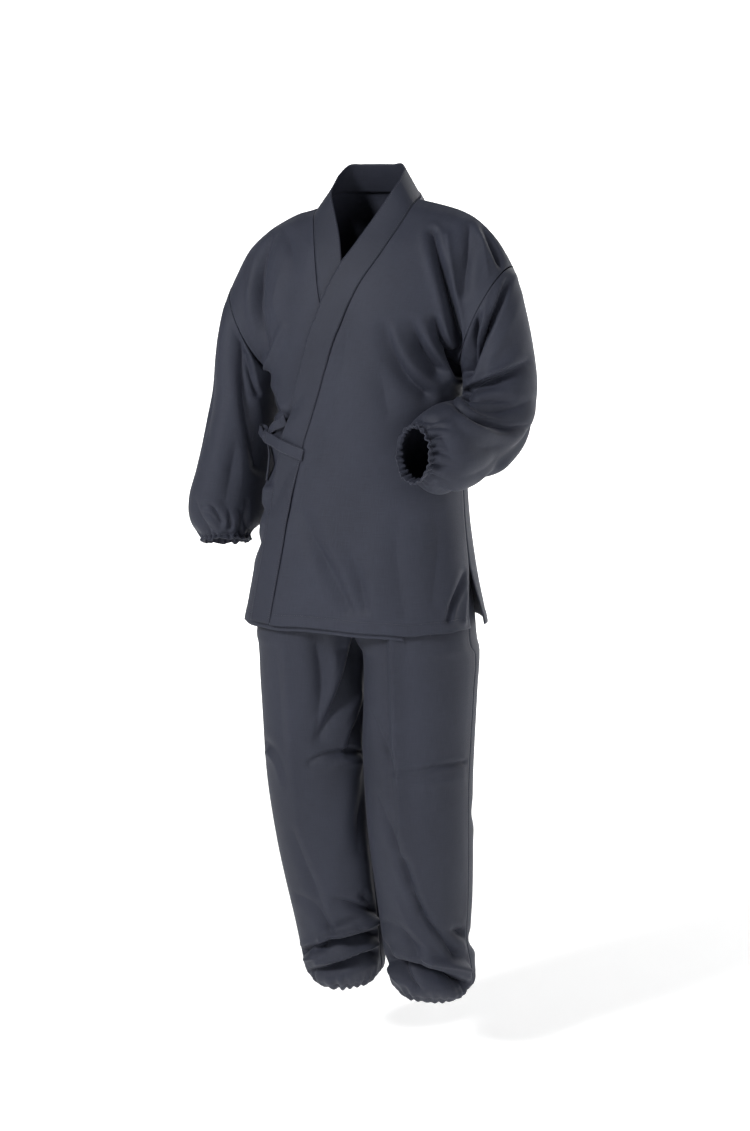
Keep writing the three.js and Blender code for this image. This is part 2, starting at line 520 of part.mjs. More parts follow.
// ---------- collar ----------
// Walks from a place on the front square to the seam, staying on the surface.
function walk(start, heading, distance, lift) {
  let { q, w } = start;
  const steps = 6;
  const step = 1e-3;
  for (let i = 0; i < steps; i += 1) {
    const here = body(-1, q, w);
    const byQ = body(-1, q + step, w).sub(here).divideScalar(step);
    const byW = body(-1, q, w + step).sub(here).divideScalar(step);
    const n = byQ.clone().cross(byW).normalize();
    const go = n.clone().cross(heading).normalize().multiplyScalar(distance / steps);
    const [a, b, c] = [byQ.dot(byQ), byQ.dot(byW), byW.dot(byW)];
    const [d, e] = [go.dot(byQ), go.dot(byW)];
    const det = a * c - b * b;
    q += (d * c - b * e) / det;
    w += (a * e - b * d) / det;
  }
  const { p } = bodyPoint(-1, q, Math.max(w, 0.001), lift(q, w), []);
  return p;
}

function collarBand(columns) {
  const frontRows = (side, track) => {
    const list = [];
    for (let i = 0; i <= BAND_ROWS; i += 1) {
      const w = mix(BAND_START, 2, (i / BAND_ROWS) ** 1.15);
      const q = read(track, 'w', w, 'q');
      const here = body(-1, q, w);
      const ahead = body(-1, read(track, 'w', w + 0.01, 'q'), w + 0.01).sub(here).normalize();
      const heading = ahead.lerp(V(0, 0, -1), smooth((w - 1.55) / 0.4));
      const stand = 1 - smooth(w / BAND_STANDS);
      const lift = (a, b) => (side > 0 ? OVER_LIFT + 0.8 : UNDER_DROP - 0.4) * smooth((b - 0.02) / 0.5);
      const row = [];
      for (let c = 0; c <= columns; c += 1) {
        const far = BAND_GAP + (BAND_WIDTH - BAND_GAP) * c / columns;
        const flat = walk({ q, w }, heading, side * far, lift);
        const up = V(-side * 0.56, 0.12 * far / BAND_WIDTH, 0.8).normalize();
        const foot = walk({ q, w }, heading, side * BAND_GAP, lift);
        const raised = foot.clone().addScaledVector(up, far);
        row.push(flat.lerp(raised, stand));
      }
      list.push(row);
    }
    return list;
  };
  const rows = frontRows(1, trackLeft).reverse();
  // Behind the neck the band stands on the neckline and leans in a little; it clears the corners of the back panel.
  for (let i = 0; i <= NAPE_ROWS; i += 1) {
    const t = i / NAPE_ROWS;
    const seam = shoulderLine(mix(0.36, -0.34, t), true);
    const out = V(seam.x, seam.y - 4, 0).normalize();
    const corner = smooth((Math.abs(2 * t - 1) - 0.5) / 0.4);
    const row = [];
    for (let c = 0; c <= columns; c += 1) {
      const far = BAND_WIDTH * c / columns;
      const p = seam.clone().addScaledVector(out, mix(-2.6, -3.4, corner) - 0.5 * far);
      p.z += mix(-1.8, 3, corner) + 0.86 * far;
      row.push(p);
    }
    rows.push(row);
  }
  rows.push(...frontRows(-1, trackRight));
  const grid = rows.map((row, r) => row.map((p, c) => {
    const along = rows[Math.min(r + 1, rows.length - 1)][c].clone().sub(rows[Math.max(r - 1, 0)][c]);
    const across = row[Math.min(c + 1, row.length - 1)].clone().sub(row[Math.max(c - 1, 0)]);
    return { p, n: across.cross(along).normalize() };
  }));
  return wall(grid, BAND_WALL, false);
}

// ---------- sleeves ----------
function sleeveFrame(table, down) {
  const place = down * (table.length - 1);
  const rowsWithNumber = table.map((row, i) => ({ ...row, i }));
  const get = (name) => read(rowsWithNumber, 'i', place, name);
  const turn = new THREE.Matrix4().makeRotationZ(-rad(get('yaw')))
    .multiply(new THREE.Matrix4().makeRotationY(-rad(get('tilt'))))
    .multiply(new THREE.Matrix4().makeRotationX(-rad(get('bend'))));
  return {
    centre: V(get('x'), get('y'), get('z')),
    out: V(1, 0, 0).applyMatrix4(turn).multiplyScalar(get('out')),
    fore: V(0, -1, 0).applyMatrix4(turn).multiplyScalar(get('fore')),
    arm: V(0, 0, -1).applyMatrix4(turn),
  };
}

function sleeveSurface(table, angle, down) {
  const { centre, out, fore, arm } = sleeveFrame(table, down);
  const p = centre.addScaledVector(out, Math.cos(angle)).addScaledVector(fore, Math.sin(angle));
  const parted = smooth(1 - down * 9) * ((1 - Math.cos(angle)) / 2) ** 3;
  return p.addScaledVector(arm, SEAM_GAP + UNDERARM_EASE * parted);
}

function sleeve(side, table, folds) {
  const rows = [];
  const elastic = ELASTIC_RING / (table.length - 1);
  for (let r = 0; r <= SLEEVE_ROWS + CUFF_ROWS; r += 1) {
    const gathered = r > SLEEVE_ROWS;
    const down = gathered ? mix(CUFF_FROM, 1, (r - SLEEVE_ROWS) / CUFF_ROWS) : CUFF_FROM * (r / SLEEVE_ROWS);
    const count = gathered ? SLEEVE_STEPS * 2 : SLEEVE_STEPS;
    const row = [];
    for (let i = 0; i < count; i += 1) {
      const angle = 2 * Math.PI * i / count;
      const surface = (a, d) => sleeveSurface(table, a, d);
      const at = Math.min(down, 0.995);
      const n = normalAt(surface, angle, Math.max(at, 0.006), 0.01, 0.004);
      const p = surface(angle, down);
      if (n.dot(p.clone().sub(sleeveFrame(table, down).centre)) < 0) n.negate();
      const degrees = angle * 180 / Math.PI;
      let move = 0;
      for (const fold of folds) {
        const near = [-360, 0, 360].reduce((best, turn) => {
          const mid = (fold.turn0 + fold.turn1) / 2;
          return Math.abs(degrees + turn - mid) < Math.abs(best - mid) ? degrees + turn : best;
        }, degrees);
        move += foldPull(near * DEGREE_ROUND_SLEEVE, -down * SLEEVE_LONG, fold, fold.turn0 * DEGREE_ROUND_SLEEVE,
          -fold.down0 * SLEEVE_LONG, fold.turn1 * DEGREE_ROUND_SLEEVE, -fold.down1 * SLEEVE_LONG);
      }
      const freeEnds = smooth(down / 0.08) * smooth((0.97 - down) / 0.1);
      move *= freeEnds;
      const inner = smooth((-Math.cos(angle) - 0.2) / 0.6) * smooth((0.8 - down) / 0.2);
      move = mix(move, Math.min(move, 0), inner);
      const gather = smooth((down - CUFF_FROM) / (elastic - CUFF_FROM));
      const wave = gathered ? CUFF_WAVE * gather * (i % 2 ? 1 : -1) : 0;
      p.addScaledVector(n, move + wave * (0.8 + 0.35 * Math.sin(i * 2.4)));
      row.push({ p, n });
    }
    rows.push(row);
  }
  if (side < 0) {
    rows.forEach((row) => row.forEach(({ p, n }) => {
      p.x = -p.x;
      n.x = -n.x;
    }));
  }
  return wall(rows, CLOTH, true);
}

// ---------- trousers ----------
// One trouser panel's surface: t runs from 0 at the inner seam to 1 at the outer seam.
function legSurface(side, way, t, z) {
  const get = (name) => read(LEG, 'z', z, name);
  const inner = { x: get('inX'), y: get(way < 0 ? 'inFront' : 'inBack') };
  const middle = { x: get('midX'), y: get(way < 0 ? 'fore' : 'aft') };
  const seamY = mix(4, read(LEG, 'z', z, 'inFront') + 1, smooth((-640 - z) / 120));
  const outer = { x: get(side > 0 ? 'sideLeft' : 'sideRight'), y: seamY };
  const angle = Math.PI * t;
  const [c, s] = [Math.cos(angle), Math.sin(angle)];
  const power = 0.88;
  const full = (value) => Math.sign(value) * Math.abs(value) ** power;
  const end = c > 0 ? inner : outer;
  const x = middle.x + (end.x - middle.x) * full(Math.abs(c));
  const y = end.y + (middle.y - end.y) * full(s);
  const dip = LEG_HEM_TILT * smooth((-1150 - z) / 130) * way * s;
  const shift = LEG_SHIFT * smooth((-860 - z) / 420);
  return V(side * x + shift, y, z + dip);
}

const LEG_SEAM = SEAM_GAP / 2 / 240;

function legPanel(side, way) {
  const folds = LEG_FOLDS[`${way < 0 ? 'front' : 'back'}_${side < 0 ? 'right' : 'left'}`];
  const heights = [];
  const [top, hem] = [LEG[0].z, LEG[LEG.length - 1].z];
  for (let r = 0; r <= LEG_ROWS; r += 1) heights.push(mix(top, LEG_GATHER_Z, r / LEG_ROWS));
  for (let r = 1; r <= LEG_GATHER_ROWS; r += 1) {
    heights.push(mix(LEG_GATHER_Z, hem, (r / LEG_GATHER_ROWS) ** 0.8));
  }
  const rows = heights.map((z, r) => {
    const gathered = r > LEG_ROWS;
    const count = gathered ? LEG_STEPS * 2 : LEG_STEPS;
    const row = [];
    for (let i = 0; i <= count; i += 1) {
      const t = mix(LEG_SEAM, 1 - LEG_SEAM, i / count);
      const surface = (a, b) => legSurface(side, way, a, b);
      const inside = clamp01((t - 0.03) / 0.94) * 0.94 + 0.03;
      const n = normalAt(surface, inside, z, 0.012, 3);
      const p = surface(t, z);
      if (n.y * way < 0 && Math.abs(n.y) > 0.2) n.negate();
      if (i === 0) n.set(z > CROTCH_Z ? 0 : -side, z > CROTCH_Z ? way : 0, 0);
      if (i === count) n.set(side, 0, 0);
      let move = 0;
      for (const fold of folds) {
        move += foldPull(180 * t * DEGREE_ROUND_LEG, z, fold, fold.turn0 * DEGREE_ROUND_LEG, fold.z0,
          fold.turn1 * DEGREE_ROUND_LEG, fold.z1);
      }
      move *= smooth(Math.min(t, 1 - t) / 0.12);
      const gather = smooth((-1232 - z) / 40);
      const wave = gathered && i > 0 && i < count ? LEG_WAVE * gather * (i % 2 ? 1 : -1) : 0;
      p.addScaledVector(n, move + wave);
      if (i === 0 && z > CROTCH_Z) p.x += side * SEAM_GAP / 2;
      if (i === 0 && z <= CROTCH_Z) p.y += way * SEAM_GAP / 2;
      if (i === count) p.y += way * SEAM_GAP / 2;
      row.push({ p, n });
    }
    return row;
  });
  return wall(rows, CLOTH, false);
}

// ---------- ties ----------
// The front's surface at x and z, moved out by on, and its outward direction there.
function onFront({ x, z, on }) {
  const { q, w } = pin(x, z);
  return bodyPoint(-1, q, w, on, []);
}

// A flat strip along a row of places on the front; width0 and width1 are its widths at the ends.
function ribbon(places, width0, width1, steps, turn = 0) {
  const stops = places.map(onFront);
  const line = new THREE.CatmullRomCurve3(stops.map(({ p }) => p));
  const rows = [];
  for (let i = 0; i <= steps; i += 1) {
    const t = i / steps;
    const p = line.getPoint(t);
    const along = line.getTangent(t);
    const place = t * (stops.length - 1);
    const k = Math.min(stops.length - 2, Math.floor(place));
    const out = stops[k].n.clone().lerp(stops[k + 1].n, place - k).lerp(V(0, 0, 1), turn);
    const across = turn ? V(0.1, 0.25, 1).normalize() : out.cross(along).normalize();
    const n = along.clone().cross(across).normalize();
    const width = mix(width0, width1, t);
    rows.push([-0.5, 0, 0.5].map((s) => ({ p: p.clone().addScaledVector(across, s * width), n })));
  }
  return wall(rows, TIE_WALL, false);
}

function tieKnot() {
  const geometry = new THREE.SphereGeometry(1, 12, 8);
  geometry.scale(TIE_KNOT.wide / 2, TIE_KNOT.deep / 2, TIE_KNOT.tall / 2);
  geometry.rotateY(rad(-14));
  const { p, n } = onFront(TIE_KNOT);
  geometry.rotateZ(Math.atan2(n.y, n.x) + Math.PI / 2);
  geometry.translate(p.x, p.y, p.z);
  return geometry;
}

const tieParts = () => ({
  tie_root: ribbon(TIE_ROOT, TIE_WIDTH, 11, 4),
  tie_side: ribbon(TIE_SIDE, 14, 12, 2),
  tie_knot: tieKnot(),
  tie_loop: ribbon(TIE_LOOP, 13, 12, 10, 1),
  tie_tail: ribbon(TIE_TAIL, 14, TIE_WIDTH, 8),
  tie_drop: ribbon(TIE_DROP, 9, 14, 6),
});

// ---------- assembly ----------
const garment = new THREE.Group();
const clothMaterial = new THREE.MeshStandardMaterial({ color: CLOTH_COLOUR, roughness: 0.86, metalness: 0 });
const bandMaterial = new THREE.MeshStandardMaterial({ color: BAND_COLOUR, roughness: 0.86, metalness: 0 });

function add(name, geometry, material) {
  const mesh = new THREE.Mesh(geometry, material);
  mesh.name = name;
  garment.add(mesh);
}

add('jacket_back', backPanel(22, 24), clothMaterial);
add('jacket_front_left', frontPanel(1, 18, 26), clothMaterial);
add('jacket_front_right', frontPanel(-1, 14, 24), clothMaterial);
add('collar_band', collarBand(4), bandMaterial);
add('sleeve_left', sleeve(1, SLEEVE_LEFT, SLEEVE_FOLDS.left), clothMaterial);
add('sleeve_right', sleeve(-1, SLEEVE_RIGHT, SLEEVE_FOLDS.right), clothMaterial);
for (const [sideName, side] of [['left', 1], ['right', -1]]) {
  add(`trouser_front_${sideName}`, legPanel(side, -1), clothMaterial);
  add(`trouser_back_${sideName}`, legPanel(side, 1), clothMaterial);
}
for (const [name, geometry] of Object.entries(tieParts())) add(name, geometry, bandMaterial);

export default garment;
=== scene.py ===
# %% [markdown]
# # A samue: a crossed-front work jacket and its trousers
#
# This lesson dresses a plain solid model of a samue in real cloth. The solids say where each panel lies;
# here every panel is made again as a fine sheet with its folds, gathers, seams and stitching, and with a
# woven finish. All sizes in the tables are in millimetres, with z up, the front facing -y and the
# wearer's left towards +x.

# %% Load the frame
import math
import bpy
import numpy as np
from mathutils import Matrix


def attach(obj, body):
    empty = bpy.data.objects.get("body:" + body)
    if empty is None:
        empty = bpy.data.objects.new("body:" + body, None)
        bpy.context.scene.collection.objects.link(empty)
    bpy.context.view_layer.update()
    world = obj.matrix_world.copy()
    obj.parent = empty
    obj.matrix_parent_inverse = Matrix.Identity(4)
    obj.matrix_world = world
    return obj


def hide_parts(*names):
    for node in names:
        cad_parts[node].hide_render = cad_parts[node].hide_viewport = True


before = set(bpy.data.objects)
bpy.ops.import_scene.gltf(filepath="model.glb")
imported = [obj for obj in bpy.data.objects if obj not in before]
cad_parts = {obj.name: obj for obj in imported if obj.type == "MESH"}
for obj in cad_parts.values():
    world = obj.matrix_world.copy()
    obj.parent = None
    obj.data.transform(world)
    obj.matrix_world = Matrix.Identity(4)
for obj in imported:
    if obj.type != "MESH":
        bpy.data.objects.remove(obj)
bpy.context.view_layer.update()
print("solids in the frame:", len(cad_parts))

# %% [markdown]
# ## The camera and the light
# A garment reads by the soft shading across its folds. A long lens from a little to the wearer's left
# keeps the proportions of a catalogue view, and large area lamps give the broad, soft light that shows
# folds without hard shadows. The camera is an ordinary object, so it could also be aimed with a
# constraint; plain numbers are simpler to read.

# %% The camera
CAMERA_PLACE = (1.4758, -3.2836, 0.0498)
CAMERA_TILT = math.radians(80)
CAMERA_TURN = math.radians(24)
LENS = 49.10
SENSOR = 24.0


def in_scene(name, data):
    """A new object made from data, linked into the scene."""
    made = bpy.data.objects.new(name, data)
    bpy.context.scene.collection.objects.link(made)
    return made


camera_data = bpy.data.cameras.new("Camera")
camera_data.sensor_fit = "VERTICAL"
camera_data.sensor_height = SENSOR
camera_data.lens = LENS
camera_data.clip_end = 60.0
camera = in_scene("Camera", camera_data)
camera.location = CAMERA_PLACE
camera.rotation_euler = (CAMERA_TILT, 0.0, CAMERA_TURN)
bpy.context.scene.camera = camera
print("camera stands", round(camera.location.length, 2), "m away")


# %% The lamps and the room
# Each lamp: its place, what it shines at, its size in metres and its power in watts.
LAMPS = {
    "Key lamp": ((-1.9, -4.0, 2.0), (0, 0, -0.5), 1.0, 208),
    "Fill lamp": ((3.6, -2.4, 0.6), (0, 0, -0.6), 2.0, 58),
    "Back lamp": ((0.6, 3.2, 2.2), (0, 0, -0.4), 2.0, 60),
    "Sweep lamp left": ((-2.2, 2.2, 1.6), (-1.6, 6.4, 0.8), 2.4, 200),
    "Sweep lamp right": ((2.2, 2.2, 1.6), (1.0, 6.4, 0.8), 2.4, 200),
}
ROOM_LIGHT = 0.05


def area_lamp(name, place, aim, size, power):
    """A square lamp at place that shines towards aim."""
    data = bpy.data.lights.new(name, "AREA")
    data.shape = "SQUARE"
    data.size = size
    data.energy = power
    lamp = in_scene(name, data)
    lamp.location = place
    way = np.array(aim, float) - np.array(place, float)
    flat = math.hypot(way[0], way[1])
    lamp.rotation_euler = (math.atan2(flat, -way[2]), 0.0, math.atan2(way[0], -way[1]) + math.pi)


for lamp_name, settings in LAMPS.items():
    area_lamp(lamp_name, *settings)

world = bpy.data.worlds.new("Studio")
world.use_nodes = True
background = world.node_tree.nodes["Background"]
background.inputs["Color"].default_value = (1.0, 1.0, 1.0, 1.0)
background.inputs["Strength"].default_value = ROOM_LIGHT
bpy.context.scene.world = world
bpy.context.scene.view_settings.view_transform = "Standard"

# %% [markdown]
# ## The floor
# A seamless studio sweep: a pale floor that turns up into a wall, so that no horizon line shows. It is
# one strip whose profile is a line, a quarter circle and a line. It is stage, and isn't part of the
# garment.

# %% The studio sweep
FLOOR_Z = -1.40
SWEEP_RADIUS = 2.5
SWEEP_STEPS = 12
SWEEP_FORE = -9.0
SWEEP_AFT = 4.0
SWEEP_HIGH = 9.0
SWEEP_HALF = 12.0
PAPER = {
    "Base Color": (0.93, 0.93, 0.93, 1.0),
    "Roughness": 0.9,
    "Emission Color": (1.0, 1.0, 1.0, 1.0),
    "Emission Strength": 0.36,
}


def studio_sweep():
    """The floor behind and under the garment, as one mesh."""
    profile = [(SWEEP_FORE, 0.0)]
    for step in range(SWEEP_STEPS + 1):
        turn = math.radians(90 * step / SWEEP_STEPS)
        profile.append((SWEEP_AFT + SWEEP_RADIUS * math.sin(turn), SWEEP_RADIUS * (1 - math.cos(turn))))
    profile.append((SWEEP_AFT + SWEEP_RADIUS, SWEEP_HIGH))
    points = [(side, run, FLOOR_Z + rise) for run, rise in profile for side in (-SWEEP_HALF, SWEEP_HALF)]
    faces = [(2 * i, 2 * i + 1, 2 * i + 3, 2 * i + 2) for i in range(len(profile) - 1)]
    mesh = bpy.data.meshes.new("Studio sweep")
    mesh.from_pydata(points, [], faces)
    mesh.shade_smooth()
    return in_scene("Studio_sweep", mesh)


def plain_finish(name, values):
    """A material whose shader has the inputs named in values."""
    material = bpy.data.materials.new(name)
    material.use_nodes = True
    shader = material.node_tree.nodes["Principled BSDF"]
    for key, value in values.items():
        shader.inputs[key].default_value = value
    return material


sweep = studio_sweep()
sweep.data.materials.append(plain_finish("Pale paper", PAPER))

# %% [markdown]
# ## Reading a table
# The cut of the garment is kept in short tables. Each row is a level, and between the rows a smooth curve
# is read, so that a handful of numbers gives a flowing outline. A table is a dictionary of columns.


# %% Tables and small curves
def table(columns, rows):
    """A dictionary of columns from rows, in rising order of the first column."""
    names = columns.split()
    rows = sorted(rows)
    return {name: np.array([row[i] for row in rows], float) for i, name in enumerate(names)}


def read(rows, key, at, name):
    """Column name where column key is at, on a smooth curve through the rows."""
    k = rows[key]
    v = rows[name]
    tangent = np.empty_like(v)
    tangent[1:-1] = (v[2:] - v[:-2]) / (k[2:] - k[:-2])
    tangent[0] = (v[1] - v[0]) / (k[1] - k[0])
    tangent[-1] = (v[-1] - v[-2]) / (k[-1] - k[-2])
    at = np.asarray(at, float)
    i = np.clip(np.searchsorted(k, at) - 1, 0, len(k) - 2)
    span = k[i + 1] - k[i]
    t = (at - k[i]) / span
    straight = v[i] + (v[i + 1] - v[i]) * t
    curve = (2 * t**3 - 3 * t**2 + 1) * v[i] + (t**3 - 2 * t**2 + t) * tangent[i] * span
    curve += (3 * t**2 - 2 * t**3) * v[i + 1] + (t**3 - t**2) * tangent[i + 1] * span
    return np.where((t < 0) | (t > 1), straight, curve)


def read_side(rows, key, at, way):
    """Column front or back, by the sign of way."""
    return np.where(way < 0, read(rows, key, at, "front"), read(rows, key, at, "back"))


def smooth(t):
    """0 below 0, 1 above 1, and a soft step between."""
    t = np.clip(t, 0, 1)
    return t * t * (3 - 2 * t)


def hump(t):
    """1 at 0, falling softly to nothing on both sides."""
    return np.exp(-(t**2))


def mix(a, b, t):
    """The value at share t of the way from a to b."""
    return a + (b - a) * t


def unit(vectors):
    """Vectors brought to length 1."""
    return vectors / np.maximum(np.linalg.norm(vectors, axis=-1, keepdims=True), 1e-9)


def turned_by(x, y, angle):
    """A pair of coordinates turned by an angle."""
    return x * np.cos(angle) - y * np.sin(angle), x * np.sin(angle) + y * np.cos(angle)


def curve_through(points, count):
    """A smooth curve through points, evenly spaced in its parameter."""
    ends = np.concatenate([[2 * points[0] - points[1]], points, [2 * points[-1] - points[-2]]])
    t = np.linspace(0, len(points) - 1 - 1e-9, count)
    i = t.astype(int)
    f = (t - i)[:, None]
    a, b, c, d = (ends[i + k] for k in range(4))
    return 0.5 * (2 * b + (c - a) * f + (2 * a - 5 * b + 4 * c - d) * f**2 + (3 * b - a - 3 * c + d) * f**3)


# %% [markdown]
# ## The body of the jacket
# The body is one smooth surface. Across it q runs from -1 at the right side seam to 1 at the left one,
# and down it w runs from 0 at the shoulder seam over 1 at the underarm to 2 at the hem. Front and back
# are the same formula with another depth. This is easier to keep tidy than a sculpted mesh: the seam
# lines, the collar and the ties can all be found on the surface by their q and w.

# %% Sizes of the jacket
BAND_WIDTH = 45
BAND_GAP = 0.6
BAND_TUCK = 6
HEM_Z = -668
UNDERARM_Z = -276
SIDE_LIFT = 12
SIDE_Y = 10
VENT_TOP_Z = -562
VENT_SPREAD = 14
VENT_FLARE = 0.4
OVER_LIFT = 3.6
UNDER_DROP = -2.4
ARMHOLE_FORE = 60
NAPE_Y = 64
NAPE_Z = 3
SEAM_GAP = 0.3

SHOULDER_LEFT = table("x z", [
    (0, 6), (60, -4), (88, -12), (128, -21), (160, -31), (185, -46), (211, -73), (234, -112),
])
SHOULDER_RIGHT = table("x z", [
    (0, 6), (60, -14), (83, -28), (115, -37), (150, -53), (172, -66), (204, -94), (234, -150),
])
NECK_X = {1: 88, -1: 83}
CHEST_ROLL = table("w front back", [
    (0, 0, 0), (0.06, 0.24, 0.3), (0.14, 0.42, 0.5), (0.28, 0.66, 0.74), (0.48, 0.86, 0.92),
    (0.72, 0.97, 1.0), (1, 1, 1),
])
BODY = table("z half front back full left", [
    (-276, 158, 116, 92, 2.3, 0),
    (-330, 156, 117, 88, 2.35, 0),
    (-400, 157, 117, 86, 2.4, -1),
    (-455, 161, 118, 92, 2.5, -3),
    (-520, 169, 122, 103, 2.6, -6),
    (-600, 180, 127, 112, 2.75, -7),
    (-680, 194, 131, 114, 2.9, -8),
])
SEAM_LEFT = [
    (88, -13), (83, -34), (72, -62), (56, -95), (31, -137), (13, -175), (-7, -225), (-25, -285), (-44, -345),
    (-58, -385), (-78, -464), (-92, -543), (-106, -620), (-114, -668),
]
SEAM_RIGHT = [
    (-83, -28), (-78, -39), (-69, -57), (-58, -86), (-49, -118), (-38, -160), (-19, -210), (8, -272),
    (34, -340), (64, -440), (86, -540), (102, -620), (110, -668),
]


# %% The body's surface
PIN_ROUNDS = 40
PIN_STEP = 1e-4
PIN_SHARE = 0.6
SLOPE_STEP = 1e-3
def shoulder_line(q, back):
    """The shoulder seam over q; behind the neck it follows the back neckline."""
    x = np.abs(q) * SHOULDER_LEFT["x"][-1]
    z = np.where(q < 0, read(SHOULDER_RIGHT, "x", x, "z"), read(SHOULDER_LEFT, "x", x, "z"))
    y = SIDE_Y - 14 * smooth((SHOULDER_LEFT["x"][-1] - x) / 150)
    neck = np.where(q < 0, NECK_X[-1], NECK_X[1])
    bow = np.sqrt(np.clip(1 - (x / neck) ** 2, 0, 1)) * np.where(back, 1.0, 0.0)
    y = mix(y, NAPE_Y, bow)
    z = mix(z, NAPE_Z, np.where(back, smooth(bow), 0))
    return np.stack([np.sign(q) * x, y, z], axis=-1)


def body_inside(way, q, w):
    """The body's surface for q from -1 to 1 and w from 0."""
    under = UNDERARM_Z + SIDE_LIFT * q
    z = np.where(w < 1, under, mix(under, HEM_Z, w - 1))
    depth = read_side(BODY, "z", z, way)
    power = 2 / read(BODY, "z", z, "full")
    turn = math.pi / 2 * np.abs(q)
    bow = np.clip(np.cos(turn), 0, 1) ** power
    x = np.sign(q) * read(BODY, "z", z, "half") * np.sin(turn) ** power + read(BODY, "z", z, "left")
    lower = np.stack([x, SIDE_Y + way * depth * bow, z], axis=-1)
    seam = shoulder_line(q, way > 0)
    level = np.clip(w, 0, 1)
    roll = read_side(CHEST_ROLL, "w", level, way)
    swing = (1 - np.cos(math.pi * level)) / 2
    ease = mix(level, swing, np.abs(q) ** 3)
    chest = mix(1 - np.abs(q) ** 2.4, bow, level**3)
    arm = ARMHOLE_FORE * np.sin(math.pi * level) * np.abs(q) ** 5
    start = mix(seam[..., 1], SIDE_Y, level)
    y = start + (SIDE_Y + way * depth - start) * roll * chest + way * arm
    upper = np.stack([mix(seam[..., 0], x, ease), y, mix(seam[..., 2], z, ease)], axis=-1)
    return np.where((w < 1)[..., None], upper, lower)


def body(way, q, w):
    """The body's surface, carried on past the shoulder seam and the side seams."""
    way, q, w = np.broadcast_arrays(np.asarray(way, float), np.asarray(q, float), np.asarray(w, float))
    way = np.where(w < 0, -way, way)
    w = np.abs(w)
    past = np.abs(q) > 1
    mirrored = np.where(past, np.sign(q) * (2 - np.abs(q)), q)
    low = past & (w >= 1)
    points = body_inside(np.where(low, -way, way), mirrored, w)
    edge = body_inside(way, np.where(past, np.sign(q), q), w)
    high = past & (w < 1)
    return np.where(high[..., None], 2 * edge - points, points)


def slopes(q, w, step):
    """Points on the front at q and w, and how they move with q and with w."""
    here = body(-1, q, w)
    by_q = (body(-1, q + step, w) - here) / step
    by_w = (body(-1, q, w + step) - here) / step
    return here, by_q, by_w


def forward(by_q, by_w):
    """The front's unit normal, from its slopes."""
    normal = unit(np.cross(by_q, by_w))
    return np.where(normal[..., 1:2] > 0, -normal, normal)


def pin(x, z):
    """The place (q, w) on the front that shows at x and z, found by Newton's steps."""
    q = x / 180
    upper = np.clip((z + 10) / UNDERARM_Z, 0, 1)
    lower = 1 + (z - UNDERARM_Z) / (HEM_Z - UNDERARM_Z)
    w = np.where(z > UNDERARM_Z, upper, lower)
    for _ in range(PIN_ROUNDS):
        here, by_q, by_w = slopes(q, w, PIN_STEP)
        det = by_q[..., 0] * by_w[..., 2] - by_w[..., 0] * by_q[..., 2]
        ex = x - here[..., 0]
        ez = z - here[..., 2]
        q = q + PIN_SHARE * (ex * by_w[..., 2] - by_w[..., 0] * ez) / det
        w = np.maximum(0.0005, w + PIN_SHARE * (by_q[..., 0] * ez - ex * by_q[..., 2]) / det)
    return q, w


def seam_track(line):
    """A collar seam as a table of q over w."""
    places = np.array(line, float)
    q, w = pin(places[:, 0], places[:, 1])
    w[0] = 0
    w[-1] = 2
    return {"w": w, "q": q}


track_left = seam_track(SEAM_LEFT)
track_right = seam_track(SEAM_RIGHT)
print("collar seams run over q", round(track_left["q"][0], 3), "and", round(track_right["q"][0], 3))


# %% [markdown]
# ## Folds
# A fold is a soft trough or ridge along a short bowed line. It is strongest in its middle, fades at both
# ends and raises the cloth a little on either side, as pushed cloth does. A cloth simulation could find
# such folds by itself, but they would fall in other places each time, so the main ones are listed.
# Folds on the hidden sides are placed on the panel itself. The sides that face the camera have sharper
# creases, which follow a curve drawn across the view: the view is 750 steps wide and 1131 tall, and each
# point of the cloth is pushed in by how near to the curve it shows.

# %% A fold's depth
VIEW_WIDE = 750
VIEW_TALL = 1131
CREASE_DEPTH = 2.15
CREASE_WIDTH = 0.86
CREASE_LIP = 0.13
FOLD_DEPTH = 1.45
SEEN_EDGE = 0.25
SEEN_START = 0.05
MM = 0.001


def fold_pull(px, pz, x0, z0, x1, z1, bow, reach, depth):
    """How far one fold moves the cloth at px and pz."""
    dx = x1 - x0
    dz = z1 - z0
    long = math.hypot(dx, dz)
    t = ((px - x0) * dx + (pz - z0) * dz) / long**2
    inside = np.clip(t, 0, 1)
    off = ((px - x0) * dz - (pz - z0) * dx) / long - bow * np.sin(math.pi * inside)
    past = np.maximum(0, np.maximum(-t, t - 1)) * long
    fade = hump(past / (1.3 * reach)) * (0.45 + 0.55 * np.sin(math.pi * inside))
    width = reach * (0.75 + 0.35 * inside)
    shape = hump(off / width) - 0.3 * hump((off - 1.9 * width) / width)
    return FOLD_DEPTH * depth * fade * shape


def all_folds(px, pz, folds):
    """The sum of several folds."""
    total = np.zeros_like(px)
    for fold in folds:
        total += fold_pull(px, pz, *fold)
    return total


def round_folds(degrees, far, folds, wide, long):
    """The sum of folds round a tube: degrees round it and far along it, each with its length in mm."""
    total = np.zeros_like(degrees)
    for turn0, far0, turn1, far1, reach, depth in folds:
        near = degrees - 360 * np.round((degrees - (turn0 + turn1) / 2) / 360)
        ends = (turn0 * wide, far0 * long, turn1 * wide, far1 * long)
        total += fold_pull(near * wide, far * long, *ends, 0, reach, depth)
    return total


